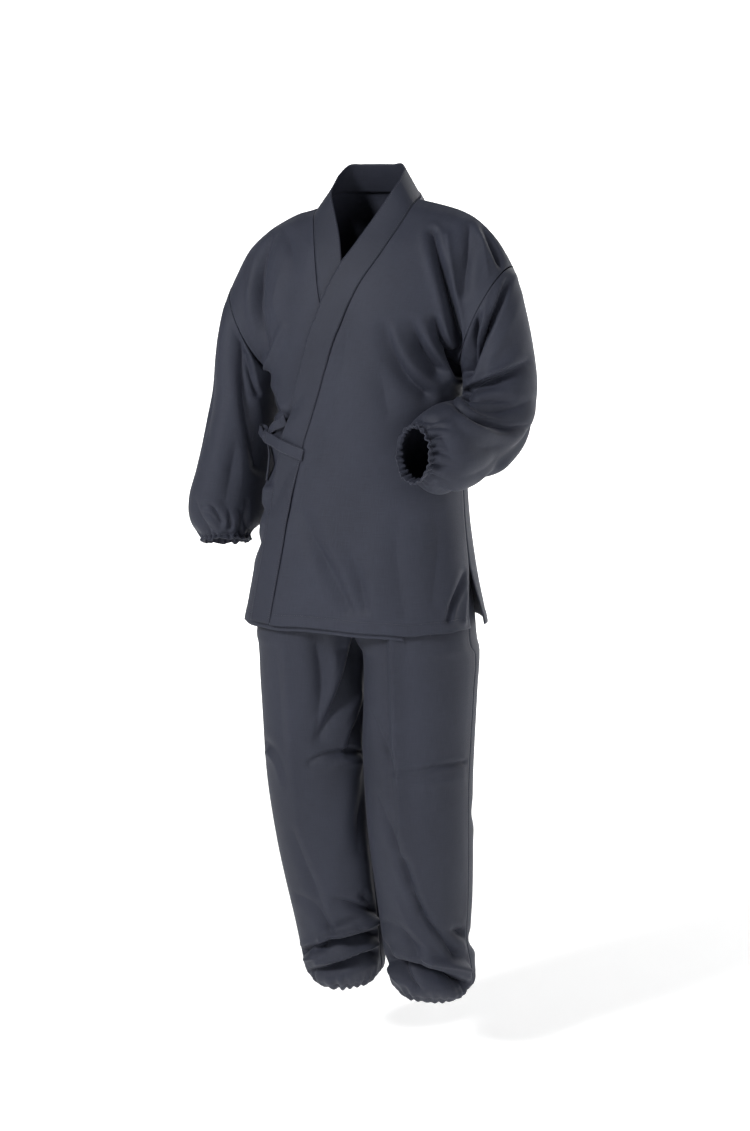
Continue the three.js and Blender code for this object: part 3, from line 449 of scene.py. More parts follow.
def seen(points):
    """Where points in millimetres show in the view: steps across it and down it."""
    right = np.array([math.cos(CAMERA_TURN), math.sin(CAMERA_TURN), 0.0])
    level = np.array([-math.sin(CAMERA_TURN), math.cos(CAMERA_TURN), 0.0])
    ahead = level * math.sin(CAMERA_TILT) - np.array([0, 0, math.cos(CAMERA_TILT)])
    up = np.cross(right, ahead)
    from_eye = points * MM - np.array(CAMERA_PLACE)
    scale = LENS / SENSOR * VIEW_TALL / (from_eye @ ahead)
    across = VIEW_WIDE / 2 + scale * (from_eye @ right)
    down = VIEW_TALL / 2 - scale * (from_eye @ up)
    return across, down


def towards_camera(points):
    """Unit directions from points in millimetres to the camera."""
    return unit(np.array(CAMERA_PLACE) / MM - points)


def crease(across, down, places, width, depths, lean=0.0):
    """How far one crease pushes the cloth in, where it shows at across and down."""
    spots = np.array([place.split(",") for place in places.split()], float)
    line = curve_through(spots, 4 * len(spots))
    steps = np.diff(line, axis=0)
    longs = np.hypot(steps[:, 0], steps[:, 1])
    starts = np.concatenate([[0], np.cumsum(longs)])
    gap = np.full(across.shape, 1e9)
    side = np.zeros(across.shape)
    share = np.zeros(across.shape)
    for (x0, y0), (dx, dy), long, start in zip(line[:-1], steps, longs, starts):
        px = across - x0
        py = down - y0
        inside = np.clip((px * dx + py * dy) / long**2, 0, 1)
        away = np.hypot(px - inside * dx, py - inside * dy)
        closer = away < gap
        gap = np.where(closer, away, gap)
        side = np.where(closer, (px * dy - py * dx) / long, side)
        share = np.where(closer, (start + inside * long) / starts[-1], share)
    reach = CREASE_WIDTH * width * (1 + lean * side / np.maximum(gap, 1e-6))
    shape = 0.5 * hump(gap / reach) + 0.5 * np.exp(-1.5 * gap / reach)
    lip = CREASE_LIP * hump((gap - 2.2 * reach) / reach)
    return CREASE_DEPTH * np.interp(share, [0, 0.5, 1], depths) * (shape - lip)


def laid_creases(points, creases):
    """The sum of creases at points on the cloth."""
    across, down = seen(points)
    total = np.zeros(across.shape)
    for row in creases:
        total += crease(across, down, *row)
    return total


def seen_creases(points, normals, creases):
    """Creases on the side that faces the camera, fading out where the cloth turns away."""
    facing = np.sum(normals * towards_camera(points), axis=-1)
    return smooth((facing + SEEN_START) / SEEN_EDGE) * laid_creases(points, creases)


def ease_waves(px, pz, seed, size, height):
    """The slight unevenness of hanging cloth: a few long waves that never line up."""
    rng = np.random.default_rng(seed)
    total = np.zeros_like(px)
    for k in range(7):
        turn = rng.uniform(-0.5, 0.5) + (math.pi / 2 if k % 3 == 2 else 0)
        length = size * rng.uniform(0.6, 1.6)
        start = rng.uniform(0, 2 * math.pi)
        along = px * math.cos(turn) + pz * math.sin(turn) * 0.55
        across = -px * math.sin(turn) + pz * math.cos(turn)
        sway = 0.9 * np.sin(across / (2.3 * length) + start)
        total += np.sin(2 * math.pi * along / length + start + sway)
    return height * total / 3


# %% [markdown]
# ## From a grid of points to a sheet of cloth
# Each panel is a grid of points on its middle surface, with a UV map in metres of cloth, so that the
# weave keeps its real size and follows the cut. Solidify gives it its thickness. A vertex group makes
# hems and facings twice as thick, which is what they are on the real garment.

# %% Making a cloth piece
CLOTH_THICK = 1.1 * MM
BAND_THICK = 1.25 * MM
SINGLE_SHARE = 0.55
DOUBLE_SHARE = 1.8
pieces = {}


def normals_of(grid, closed):
    """Unit normals of a grid of points, by the differences between neighbours."""
    down = np.gradient(grid, axis=0)
    if closed:
        across = (np.roll(grid, -1, axis=1) - np.roll(grid, 1, axis=1)) / 2
    else:
        across = np.gradient(grid, axis=1)
    return unit(np.cross(across, down))


def outward(grid, closed, toward):
    """Normals of a grid, all on the side that toward points to, and whether they had to be turned."""
    normals = normals_of(grid, closed)
    turned = np.mean(np.sum(normals * toward, axis=-1)) < 0
    return (-normals if turned else normals), turned


def cloth_uv(grid, closed):
    """Distances along the cloth, in metres: u across and v down."""
    wide = np.concatenate([grid, grid[:, :1]], axis=1) if closed else grid
    u = np.cumsum(np.linalg.norm(np.diff(wide, axis=1), axis=2).mean(axis=0)) * MM
    u = np.concatenate([[0], u])
    v = np.concatenate([[0], np.cumsum(np.linalg.norm(np.diff(grid, axis=0), axis=2).mean(axis=1))]) * MM
    return u, v


def cloth_piece(name, grid, turned, finish, closed=False, doubled=None, thick=CLOTH_THICK):
    """A sheet object from a grid of points in millimetres."""
    rows, cols = grid.shape[:2]
    number = np.arange(rows * cols).reshape(rows, cols)
    if closed:
        number = np.concatenate([number, number[:, :1]], axis=1)
    quads = np.stack([number[:-1, :-1], number[:-1, 1:], number[1:, 1:], number[1:, :-1]], axis=-1)
    u, v = cloth_uv(grid, closed)
    uu, vv = np.meshgrid(u, -v)
    uv = np.stack([uu, vv], axis=-1)
    corners = np.stack([uv[:-1, :-1], uv[:-1, 1:], uv[1:, 1:], uv[1:, :-1]], axis=2)
    if not turned:
        quads = quads[..., ::-1]
        corners = corners[:, :, ::-1]
    mesh = bpy.data.meshes.new(name)
    mesh.from_pydata((grid.reshape(-1, 3) * MM).tolist(), [], quads.reshape(-1, 4).tolist())
    layer = mesh.uv_layers.new(name="Cut")
    layer.data.foreach_set("uv", corners.reshape(-1, 2).astype(np.float32).ravel())
    mesh.shade_smooth()
    piece = in_scene(name, mesh)
    group = piece.vertex_groups.new(name="Doubled")
    weights = np.zeros((rows, cols)) if doubled is None else doubled
    flat = np.round(weights.ravel(), 1)
    for value in np.unique(flat):
        group.add(np.nonzero(flat == value)[0].tolist(), float(value), "REPLACE")
    wall = piece.modifiers.new("Thickness", "SOLIDIFY")
    wall.thickness = DOUBLE_SHARE * thick
    wall.offset = 0
    wall.vertex_group = "Doubled"
    wall.thickness_vertex_group = SINGLE_SHARE
    mesh.materials.append(finish)
    normals = normals_of(grid, closed) * (-1 if turned else 1)
    pieces[name] = {"piece": piece, "grid": grid, "normals": normals}
    return piece


# %% [markdown]
# ## The woven finish
# Samue cloth is a plain cotton weave, dyed a charcoal navy. Its warp and weft show as faint uneven
# streaks in both directions, and the surface is dull with a trace of sheen. The threads could be an
# image; here they are noise stretched along the cloth's own UV directions, so they keep their size on
# every panel.


# %% The cloth material
NAVY = (0.0245, 0.0275, 0.0425)
CLOTH_LOOK = {
    "Roughness": 0.68,
    "Specular IOR Level": 0.3,
    "Sheen Weight": 0.05,
    "Sheen Roughness": 0.45,
    "Sheen Tint": (0.62, 0.66, 0.8, 1.0),
}
THREADS = 1500
SLUBS = 45
BUMP_HEIGHT = 0.0004


def join(tree, rows):
    """Links in a node tree, each row from a node's output to a node's input."""
    for giver, out_name, taker, in_name in rows:
        tree.links.new(giver.outputs[out_name], taker.inputs[in_name])


def colour_ramp(nodes, dark, light):
    """A ramp between two colours."""
    ramp = nodes.new("ShaderNodeValToRGB")
    ramp.color_ramp.elements[0].color = (*dark, 1)
    ramp.color_ramp.elements[1].color = (*light, 1)
    return ramp


def cloth_finish(name, shade, tone):
    """A plain weave: shade is how deep its navy is, and tone how far the streaks vary."""
    material = plain_finish(name, CLOTH_LOOK)
    tree = material.node_tree
    nodes = tree.nodes
    shader = nodes["Principled BSDF"]
    colour = [shade * c for c in NAVY]
    place = nodes.new("ShaderNodeUVMap")
    place.uv_map = "Cut"

    def streaks(across, along, detail):
        stretch = nodes.new("ShaderNodeMapping")
        stretch.inputs["Scale"].default_value = (across, along, 1.0)
        noise = nodes.new("ShaderNodeTexNoise")
        noise.inputs["Scale"].default_value = 1.0
        noise.inputs["Detail"].default_value = detail
        join(tree, [(place, "UV", stretch, "Vector"), (stretch, "Vector", noise, "Vector")])
        return noise

    def added(first, first_name, second):
        node = nodes.new("ShaderNodeMath")
        node.operation = "ADD"
        join(tree, [(first, first_name, node, 0), (second, "Fac", node, 1)])
        return node

    warp = streaks(THREADS, SLUBS, 2)
    weft = streaks(SLUBS, THREADS, 2)
    cloud = streaks(9, 6, 3)
    threads = added(warp, "Fac", weft)
    mixed = added(threads, "Value", cloud)
    share = nodes.new("ShaderNodeMapRange")
    share.inputs["From Min"].default_value = 1.0
    share.inputs["From Max"].default_value = 2.0
    ramp = colour_ramp(nodes, [c * (1 - tone) for c in colour], [c * (1 + tone) for c in colour])
    bump = nodes.new("ShaderNodeBump")
    bump.inputs["Strength"].default_value = 0.35
    bump.inputs["Distance"].default_value = BUMP_HEIGHT
    join(tree, [
        (mixed, "Value", share, "Value"),
        (share, "Result", ramp, "Fac"),
        (ramp, "Color", shader, "Base Color"),
        (threads, "Value", bump, "Height"),
        (bump, "Normal", shader, "Normal"),
    ])
    return material


jacket_cloth = cloth_finish("Charcoal navy weave", 1.0, 0.25)
trouser_cloth = cloth_finish("Charcoal navy weave, trousers", 0.92, 0.25)
band_cloth = cloth_finish("Charcoal navy weave, doubled", 0.93, 0.22)
print("finishes:", jacket_cloth.name, "/", trouser_cloth.name, "/", band_cloth.name)

# %% [markdown]
# ## The jacket's fronts and back
# Each front runs from the collar seam to the side seam, and from the shoulder to the hem; the back is one
# panel. The top front crosses over the other one, so it is lifted a little and the under front is let in.
# Below the vents the edges part. The folds come where the arm and the tie pull on the cloth.

# %% Folds of the jacket's body
# Each crease: its places across and down the view, half width in the same steps, depths in mm at its
# start, middle and end, and, where it has one, a lean that makes the side before it (left of a line that
# runs down) the steeper one.
FRONT_CREASES = [
    # Between the left sleeve and the chest, and the drapes of the sleeve's cap.
    ("434,234 438,254 444,276 450,298 455,320 459,346 461,372", 4.8, (5, 14, 13), -0.25),
    ("447,236 451,262 456,292", 5, (-1.5, -3, -1)),
    ("470,226 468,256 463,292", 6, (2, 5, 3)),
    ("484,230 495,252 504,274", 4.4, (3, 6.5, 4), 0.3),
    ("478,226 484,250 488,274", 5, (-0.5, -2, -1)),
    # Under the bent arm, on the chest.
    ("436,322 442,338 450,352 459,368", 5.6, (5, 14, 13), -0.4),
    ("413,326 422,346 438,368", 7.5, (3, 10, 9), -0.35),
    ("386,330 393,350 406,373 426,392", 8, (2.4, 6.5, 6), -0.3),
    ("396,330 402,352 416,376", 6, (-1, -1.5, -1)),
    ("380,370 384,390 388,412", 9, (0.5, 2, 1)),
    # Between the right sleeve and the chest.
    ("272,232 262,258 257,282 256,306 260,330 266,352", 5, (3, 8, 3), 0.25),
    ("281,226 288,240 292,262", 7, (1, 2.5, 1)),
    ("282,262 274,300 280,330", 7, (-0.5, -2, -1)),
    ("283,326 276,342 269,360 263,380", 3.6, (-1, -4, -3)),
    # Pulled towards the knot.
    ("271,392 272,404 271,420", 4, (2, 6, 6)),
    ("262,392 271,406 284,416", 4, (1, 4, 3)),
    ("306,390 294,406 284,420", 6, (0.5, 3, 3.4), 0.2),
    ("284,420 283,428 280,436", 2.6, (4, 6, 4)),
    ("275,442 272,456 270,468 269,484", 3.4, (8, 10, 4), 0.2),
    ("265,446 261,466 257,486 253,506", 3.4, (-2, -5, -3)),
    ("273,460 269,484 264,504", 3.6, (-1, -3, -2)),
    ("266,500 259,514 254,528", 3.2, (1, 3, 2)),
    ("262,528 256,544 251,556", 3.2, (1, 3, 2)),
    ("300,458 286,480 276,506", 7, (1, 2, 1)),
    # The skirt.
    ("302,512 318,546 333,574 350,608", 9, (1.4, 5, 3.4)),
    ("352,556 360,580 366,608", 6.5, (0.5, 3.4, 2.4)),
    ("322,520 338,556 354,600", 9, (-0.5, -1.6, -1)),
    ("400,510 396,550 404,610", 12, (0.3, 2.2, 1.4)),
    ("338,400 330,430 318,470 300,506", 14, (0.4, 1.6, 0.6)),
    ("352,300 346,350 336,396", 14, (0.3, 1.4, 0.4)),
    ("430,500 438,540 432,600", 12, (0.3, 2.4, 1.4)),
    ("465,574 459,592 453,606 449,620", 3.2, (2, 5, 3), -0.3),
    ("470,570 468,590 467,620", 4, (-1, -2, -2)),
]
# Columns of a fold on a flat panel: x and z of both ends, bow, reach and depth in mm.
BACK_FOLDS = [
    (146, -60, 140, -262, -8, 14, -9),
    (-146, -70, -140, -270, 8, 14, -9),
    (96, -190, 128, -300, -6, 14, -5),
    (-92, -200, -130, -310, 6, 14, -5),
    (44, -360, 52, -640, 6, 20, -5),
    (-50, -380, -62, -650, -8, 22, -5),
    (112, -430, 122, -640, -6, 20, -4),
    (-4, -120, 2, -300, 4, 20, -3),
    (150, -300, 96, -372, 8, 12, -5),
    (-150, -310, -90, -392, -8, 12, -5),
    (60, -404, -40, -452, 6, 14, -3),
    (-118, -452, -126, -640, 4, 16, -4),
]


# %% The body panels
BODY_SEAM = SEAM_GAP / 170
SHOULDER_SEAM = SEAM_GAP / 260
OVER_SHOULDER = 0.42
HEM_TURN = 18
HEM_EASE = 90
UNDER_HEM_DROP = 8
SEAM_DIP = 0.9
HEM_DENT = 0.5
BODY_WAVE_LONG = 120
BODY_WAVE_DEPTH = 1.0
FRONT_SEED = 11
BACK_SEED = 13


def levels(count):
    """Rows from the shoulder to the hem, closer together over the shoulder."""
    t = np.linspace(0, 1, count + 1)
    lower = 1 + (t - OVER_SHOULDER) / (1 - OVER_SHOULDER)
    rows = np.where(t < OVER_SHOULDER, (t / OVER_SHOULDER) ** 1.35, lower)
    return np.maximum(rows, SHOULDER_SEAM)


def off_shoulder(w):
    """0 on the shoulder seam and 1 from the chest down."""
    return smooth((w - 0.02) / 0.5)


def layer(side, q, w):
    """How far a front lies outside or inside the middle surface, where the two cross."""
    return (OVER_LIFT if side > 0 else UNDER_DROP) * smooth((0.94 - side * q) / 0.5) * off_shoulder(w)


def vented(points, way, q):
    """Moves the points below the vents, front and back apart."""
    opened = smooth((VENT_TOP_Z - points[..., 2]) / (VENT_TOP_Z - HEM_Z))
    spread = way * VENT_SPREAD * opened * np.abs(q) ** 6
    points[..., 0] += np.sign(q) * spread * VENT_FLARE
    points[..., 1] += spread
    return points


def fading_edge(q, w):
    """1 inside a body panel and 0 at its shoulder, armhole and side seams."""
    return smooth((1 - np.abs(q)) / 0.05) * smooth(w / 0.1)


def body_panel(name, way, q, w, lift, seed, drop=0.0):
    """A panel of the body, with its folds, its half of the vents and its doubled hem."""
    grid = body(way, q, w)
    normals, turned = outward(grid, False, np.array([0, way, 0.2]))
    px = grid[..., 0]
    pz = grid[..., 2]
    folds = -laid_creases(grid, FRONT_CREASES) if way < 0 else all_folds(px, pz, BACK_FOLDS)
    waves = ease_waves(px, pz, seed, BODY_WAVE_LONG, BODY_WAVE_DEPTH) * smooth((w - 0.2) / 0.6)
    move = lift + fading_edge(q, w) * (folds + waves)
    move = move - HEM_DENT * hump((pz - HEM_Z - HEM_TURN) / 2.0)
    move = move - SEAM_DIP * hump((1 - np.abs(q)) / 0.018) * smooth((1.2 - w) / 0.2)
    grid = vented(grid + normals * move[..., None], way, q)
    sway = drop * smooth((q + 1) / 0.25) + 1.2 * np.sin(9 * q + seed) + 0.8 * np.sin(21 * q)
    grid[..., 2] -= smooth((HEM_Z + HEM_EASE - pz) / HEM_EASE) * sway
    hem = smooth((HEM_Z + HEM_TURN - pz) / 1.5)
    return cloth_piece(name, grid, turned, jacket_cloth, doubled=hem)


def front_panel(name, side, track, columns, rows):
    """A front, from its collar seam to the side seam."""
    w = levels(rows)[:, None]
    inner = read(track, "w", w, "q") + side * BODY_SEAM
    outer = side * (1 - BODY_SEAM)
    q = mix(inner, outer, np.linspace(0, 1, columns + 1)[None, :])
    drop = 0.0 if side > 0 else UNDER_HEM_DROP
    return body_panel(name, -1, q, w + 0 * q, layer(side, q, w), FRONT_SEED, drop)


front_left = front_panel("Left_front", 1, track_left, 150, 220)
front_right = front_panel("Right_front", -1, track_right, 120, 200)
across_back = np.linspace(-1 + BODY_SEAM, 1 - BODY_SEAM, 131)
back_w, back_q = np.meshgrid(levels(150), across_back, indexing="ij")
back = body_panel("Back", 1, back_q, back_w, 0, BACK_SEED)
print("front and back panels:", [len(p.data.polygons) for p in (front_left, front_right, back)], "faces")

# %% [markdown]
# ## The collar band
# The collar is one long strip of doubled cloth, sewn to both front edges and round the neck. It could be
# a curve with a flat profile, but it must lie on the curved fronts, so it is walked out from the seam:
# each of its rows starts on the seam and steps across the surface. Near the neck it lifts off and stands.


# %% The collar band
WALK_STEPS = 6
BAND_OVER = OVER_LIFT + 0.8
BAND_UNDER = UNDER_DROP - 0.4


def walk(q, w, heading, distance, out):
    """Steps from places on the front square to heading, staying on the surface, then moves out."""
    for _ in range(WALK_STEPS):
        by_q, by_w = slopes(q, w, SLOPE_STEP)[1:]
        normal = unit(np.cross(by_q, by_w))
        go = unit(np.cross(normal, heading)) * distance[..., None] / WALK_STEPS
        a = np.sum(by_q * by_q, axis=-1)
        b = np.sum(by_q * by_w, axis=-1)
        c = np.sum(by_w * by_w, axis=-1)
        d = np.sum(go * by_q, axis=-1)
        e = np.sum(go * by_w, axis=-1)
        det = a * c - b * b
        q = q + (d * c - b * e) / det
        w = w + (a * e - b * d) / det
    w = np.maximum(w, 0.001)
    here, by_q, by_w = slopes(q, w, SLOPE_STEP)
    folds = fading_edge(q, w) * laid_creases(here, FRONT_CREASES)
    here = here + forward(by_q, by_w) * (out * off_shoulder(w) - folds)[..., None]
    return vented(here, -1, q)


def band_front(side, track, rows, far):
    """The band along one front: rows of points from the seam outwards."""
    w = mix(0.03, 2, np.linspace(0, 1, rows + 1) ** 1.15)
    q = read(track, "w", w, "q")
    ahead = unit(body(-1, read(track, "w", w + 0.01, "q"), w + 0.01) - body(-1, q, w))
    ahead = mix(ahead, np.array([0, 0, -1.0]), smooth((w - 1.55) / 0.4)[:, None])
    stand = (1 - smooth(w / 0.3))[:, None, None]
    out = BAND_OVER if side > 0 else BAND_UNDER
    q = np.repeat(q[:, None], len(far), axis=1)
    w = np.repeat(w[:, None], len(far), axis=1)
    head = np.repeat(ahead[:, None, :], len(far), axis=1)
    flat = walk(q, w, head, side * far[None, :] + 0 * q, out)
    foot = walk(q, w, head, side * BAND_GAP + 0 * q, out)
    lean = [np.full_like(far, -side * 0.56), 0.12 * far / BAND_WIDTH, np.full_like(far, 0.8)]
    raised = foot + unit(np.stack(lean, axis=-1))[None, :, :] * far[None, :, None]
    return mix(flat, raised, stand)


def band_behind(rows, far):
    """The band behind the neck, standing on the neckline and leaning in."""
    t = np.linspace(0, 1, rows + 1)
    seam = shoulder_line(mix(0.36, -0.34, t), np.full(t.shape, True))
    out = unit(seam * np.array([1, 1, 0]) - np.array([0, 4, 0]))
    from_middle = np.abs(2 * t - 1)
    corner = smooth((from_middle - 0.5) / 0.4)
    tucked = BAND_TUCK * mix(0.7, 1, smooth((1 - from_middle) / 0.05))
    far = far[None, :] - tucked[:, None] * (1 - far[None, :] / BAND_WIDTH)
    along = (mix(-2.6, -3.4, corner)[:, None] - 0.5 * far)[..., None]
    points = seam[:, None, :] + out[:, None, :] * along
    points[..., 2] += mix(-1.8, 3, corner)[:, None] + 0.86 * far
    return points


far_front = np.linspace(BAND_GAP, BAND_WIDTH, 15)
far_behind = np.linspace(0, BAND_WIDTH, 15)
band_left = band_front(1, track_left, 150, far_front)[::-1]
band_right = band_front(-1, track_right, 150, far_front)
band_grid = np.concatenate([band_left, band_behind(36, far_behind), band_right])
band_turned = outward(band_grid, False, unit(band_grid * np.array([1.0, 1.0, 0.0]) + 1e-6))[1]
collar = cloth_piece("Collar_band", band_grid, band_turned, band_cloth, thick=BAND_THICK)
print("collar band:", len(collar.data.polygons), "faces")

# %% [markdown]
# ## The sleeves
# A sleeve is a tube of rings, each with a centre, two half sizes and three turns: one for how far the arm
# hangs out, one for how far it swings forward and one for how the forearm turns in. Elastic draws the
# cuff together, so the cloth stands in uneven gathers that run up the sleeve and die away.

# %% Sizes of the sleeves
SLEEVE_COLUMNS = "i x y z out fore tilt bend yaw"
SLEEVE_LEFT = table(SLEEVE_COLUMNS, [
    (0, 196, 10, -188, 84, 60, 63, 0, 0),
    (1, 206, 10, -222, 69, 62, 48, 0, 0),
    (2, 214, 11, -258, 58, 65, 33, 8, 0),
    (3, 219, 8, -294, 53, 67, 18, 22, 4),
    (4, 220, -2, -327, 53, 66, 8, 42, 10),
    (5, 215, -23, -349, 51, 65, 2, 62, 18),
    (6, 205, -54, -363, 50, 66, 0, 78, 24),
    (7, 194, -87, -372, 54, 67, 0, 86, 27),
    (8, 180, -116, -377, 57, 68, 0, 88, 28),
    (9, 168, -140, -379, 53, 60, 0, 89, 28),
    (10, 160, -155, -380, 45, 49, 0, 90, 28),
    (11, 155, -164, -380, 38, 40, 0, 90, 28),
    (12, 151, -172, -380, 41, 43, 0, 90, 28),
])
SLEEVE_RIGHT = table(SLEEVE_COLUMNS, [
    (0, 196, 10, -219, 79, 60, 61, 0, 0),
    (1, 205, 10, -250, 63, 64, 46, 0, 0),
    (2, 212, 10, -287, 54, 69, 31, 0, 0),
    (3, 217, 10, -326, 48, 74, 19, 2, 0),
    (4, 224, 10, -368, 49, 78, 11, 4, 0),
    (5, 232, 10, -412, 51, 80, 6, 6, 0),
    (6, 240, 9, -452, 54, 80, 3, 7, 0),
    (7, 249, 7, -487, 57, 77, 0, 8, 0),
    (8, 253, 4, -514, 56, 70, -3, 8, 0),
    (9, 253, 0, -533, 51, 58, -4, 8, 0),
    (10, 250, -3, -545, 43, 46, -5, 8, 0),
    (11, 248, -5, -553, 37, 39, -5, 8, 0),
    (12, 247, -6, -561, 40, 42, -5, 8, 0),
])
ELASTIC_DOWN = 11 / 12
UNDERARM_EASE = 3
SLEEVE_LONG = 420
ROUND_SLEEVE = 1.25
# Columns: turn0, down0, turn1, down1, reach, depth. Turn in degrees: 0 outer side, 90 front, 180 inner side.
SLEEVE_LEFT_FOLDS = [
    (200, 0.4, 170, 0.52, 14, -7),
    (300, 0.2, 330, 0.5, 16, -6),
    (250, 0.1, 262, 0.36, 16, -6),
    (310, 0.5, 250, 0.56, 14, -6),
    (270, 0.6, 300, 0.8, 14, -4),
]
SLEEVE_RIGHT_FOLDS = [
    (300, 0.1, 290, 0.7, 18, -7),
    (240, 0.2, 250, 0.62, 16, -6),
    (340, 0.66, 325, 0.82, 12, -5),
    (262, 0.6, 300, 0.78, 12, -5),
]
SLEEVE_LEFT_CREASES = [
    # The long fold from the seam at the top of the arm to the armpit, and the hollows beside it.
    ("507,282 499,304 488,326 478,348 468,372", 5.4, (6, 13, 9), 0.5),
    ("514,276 505,306 493,330 482,352 472,376", 4, (-2, -4, -2)),
    ("485,296 484,318 478,342", 3.6, (-0.5, -3, -1)),
    ("477,300 476,324 471,348 465,372", 4.6, (3, 9, 10)),
    ("466,308 466,330 463,356", 3.4, (-1, -2.5, -1)),
    # Folds that fan out from the inside of the elbow.
    ("466,391 480,384 497,378 513,370 527,362", 5.4, (6, 8, 2), -0.4),
    ("470,386 486,376 504,366 520,352", 6, (-2, -3, -1)),
    ("466,396 480,399 496,400 512,401", 3.2, (5, 4.5, 1), 0.3),
    ("470,404 490,410 514,408 534,400", 7.5, (2.4, 5, 1.4)),
    ("448,396 460,406 474,416 490,423 506,427 526,426", 4.2, (3, 9, 2), -0.5),
    ("452,406 470,424 492,433 514,436", 6, (-1, -3.4, -1)),
    # The forearm, towards the cuff.
    ("408,415 420,420 434,421 448,417 458,412", 4, (1, 2.5, 1.5)),
    ("418,432 426,428 436,426 448,428", 3, (2.5, 3, 1)),
    ("424,440 434,436 446,437", 2.6, (2.5, 2.5, 0.5)),
    ("426,452 438,452 450,457", 2.6, (2.5, 2, 0.5)),
    ("425,462 438,466 454,467", 2.8, (3, 2.5, 0.5)),
    ("420,471 434,476 448,481", 2.8, (3, 2.5, 0.5)),
    ("436,430 446,444 452,460", 8, (0.5, 2, 1)),
    ("470,444 486,448 506,444", 10, (0.5, 2.5, 1)),
    ("460,478 478,474 496,462", 7, (0.5, 2, 1)),
]
SLEEVE_RIGHT_CREASES = [
    # The long soft hollow beside the body.
    ("237,296 239,330 242,370 247,410 253,446 256,466", 8, (3, 6.5, 4), 0.2),
    ("244,322 250,336 257,350 264,366", 3.6, (3, 6, 5)),
    ("240,318 245,340 253,362 261,384", 3.6, (-1, -4, -3)),
    ("246,354 252,374 258,394", 4, (2, 4, 3)),
    ("226,300 222,340 222,380", 7, (-0.5, -2, -1)),
    ("214,372 209,412 206,450", 9, (0.5, 2.5, 1)),
    ("236,440 232,470 226,500", 9, (0.5, 3, 1.5)),
    # Where the cloth blouses over the elastic.
    ("203,506 210,507 216,513 221,522", 3.0, (1, 3.4, 2.4), 0.35),
    ("208,500 217,506 225,518", 4, (-0.5, -1.6, -0.5)),
    ("203,511 212,516 220,526", 3, (0.5, 1.4, 1.4)),
    ("240,510 242,520 240,532", 3, (1.5, 3, 2.4)),
    ("246,500 245,514 246,528", 3, (1, 3, 2)),
    ("228,510 230,518 230,526", 2.6, (0.5, 2, 3)),
    ("196,500 200,516 210,530", 4, (0.5, 2.5, 2)),
]
CUFF_GATHERS = 24
CUFF_GATHER_DEPTH = 2.2
SOFT_GATHERS = 11
SOFT_GATHER_DEPTH = 0.9
RUFFLE_GATHERS = 9
CUFF_ELASTIC_DENT = 1.1
RIGHT_SLACK = 11
SLACK_TURN = 214
SLACK_REACH = 42
RUFFLE_DROOP = -4


# %% The sleeves' surface
def sleeve_frame(rings, down):
    """Centre, outer and fore half axes, and the arm's direction."""
    ring = {name: read(rings, "i", down * (len(rings["i"]) - 1), name) for name in SLEEVE_COLUMNS.split()}

    def turned(x, y, z):
        y, z = turned_by(y, z, -np.radians(ring["bend"]))
        x, z = turned_by(x, z, np.radians(ring["tilt"]))
        x, y = turned_by(x, y, -np.radians(ring["yaw"]))
        return np.stack([x, y, z], axis=-1)

    one = np.ones_like(ring["x"])
    centre = np.stack([ring["x"], ring["y"], ring["z"]], axis=-1)
    out = turned(one, 0 * one, 0 * one) * ring["out"][..., None]
    fore = turned(0 * one, -one, 0 * one) * ring["fore"][..., None]
    arm = turned(0 * one, 0 * one, -one)
    return centre, out, fore, arm


def sleeve_surface(rings, angle, down):
    """Points of a sleeve, by the angle round it and the share of its length."""
    centre, out, fore, arm = sleeve_frame(rings, down)
    parted = smooth(1 - down * 9) * ((1 - np.cos(angle)) / 2) ** 3
    points = centre + out * np.cos(angle)[..., None] + fore * np.sin(angle)[..., None]
    return points + arm * (SEAM_GAP + UNDERARM_EASE * parted)[..., None]


def gathers(turn, count, seed):
    """An uneven row of gathers over turn, in radians: between -1 and 1."""
    rng = np.random.default_rng(seed)
    phase = count * turn
    for k in (1, 2, 3, 5):
        phase = phase + rng.uniform(0.5, 1.3) / k**0.5 * np.sin(k * turn + rng.uniform(0, 6.3))
    height = 1 + 0.4 * np.sin(2 * turn + rng.uniform(0, 6.3)) + 0.35 * np.sin(7 * turn + rng.uniform(0, 6.3))
    return height * np.cos(phase)


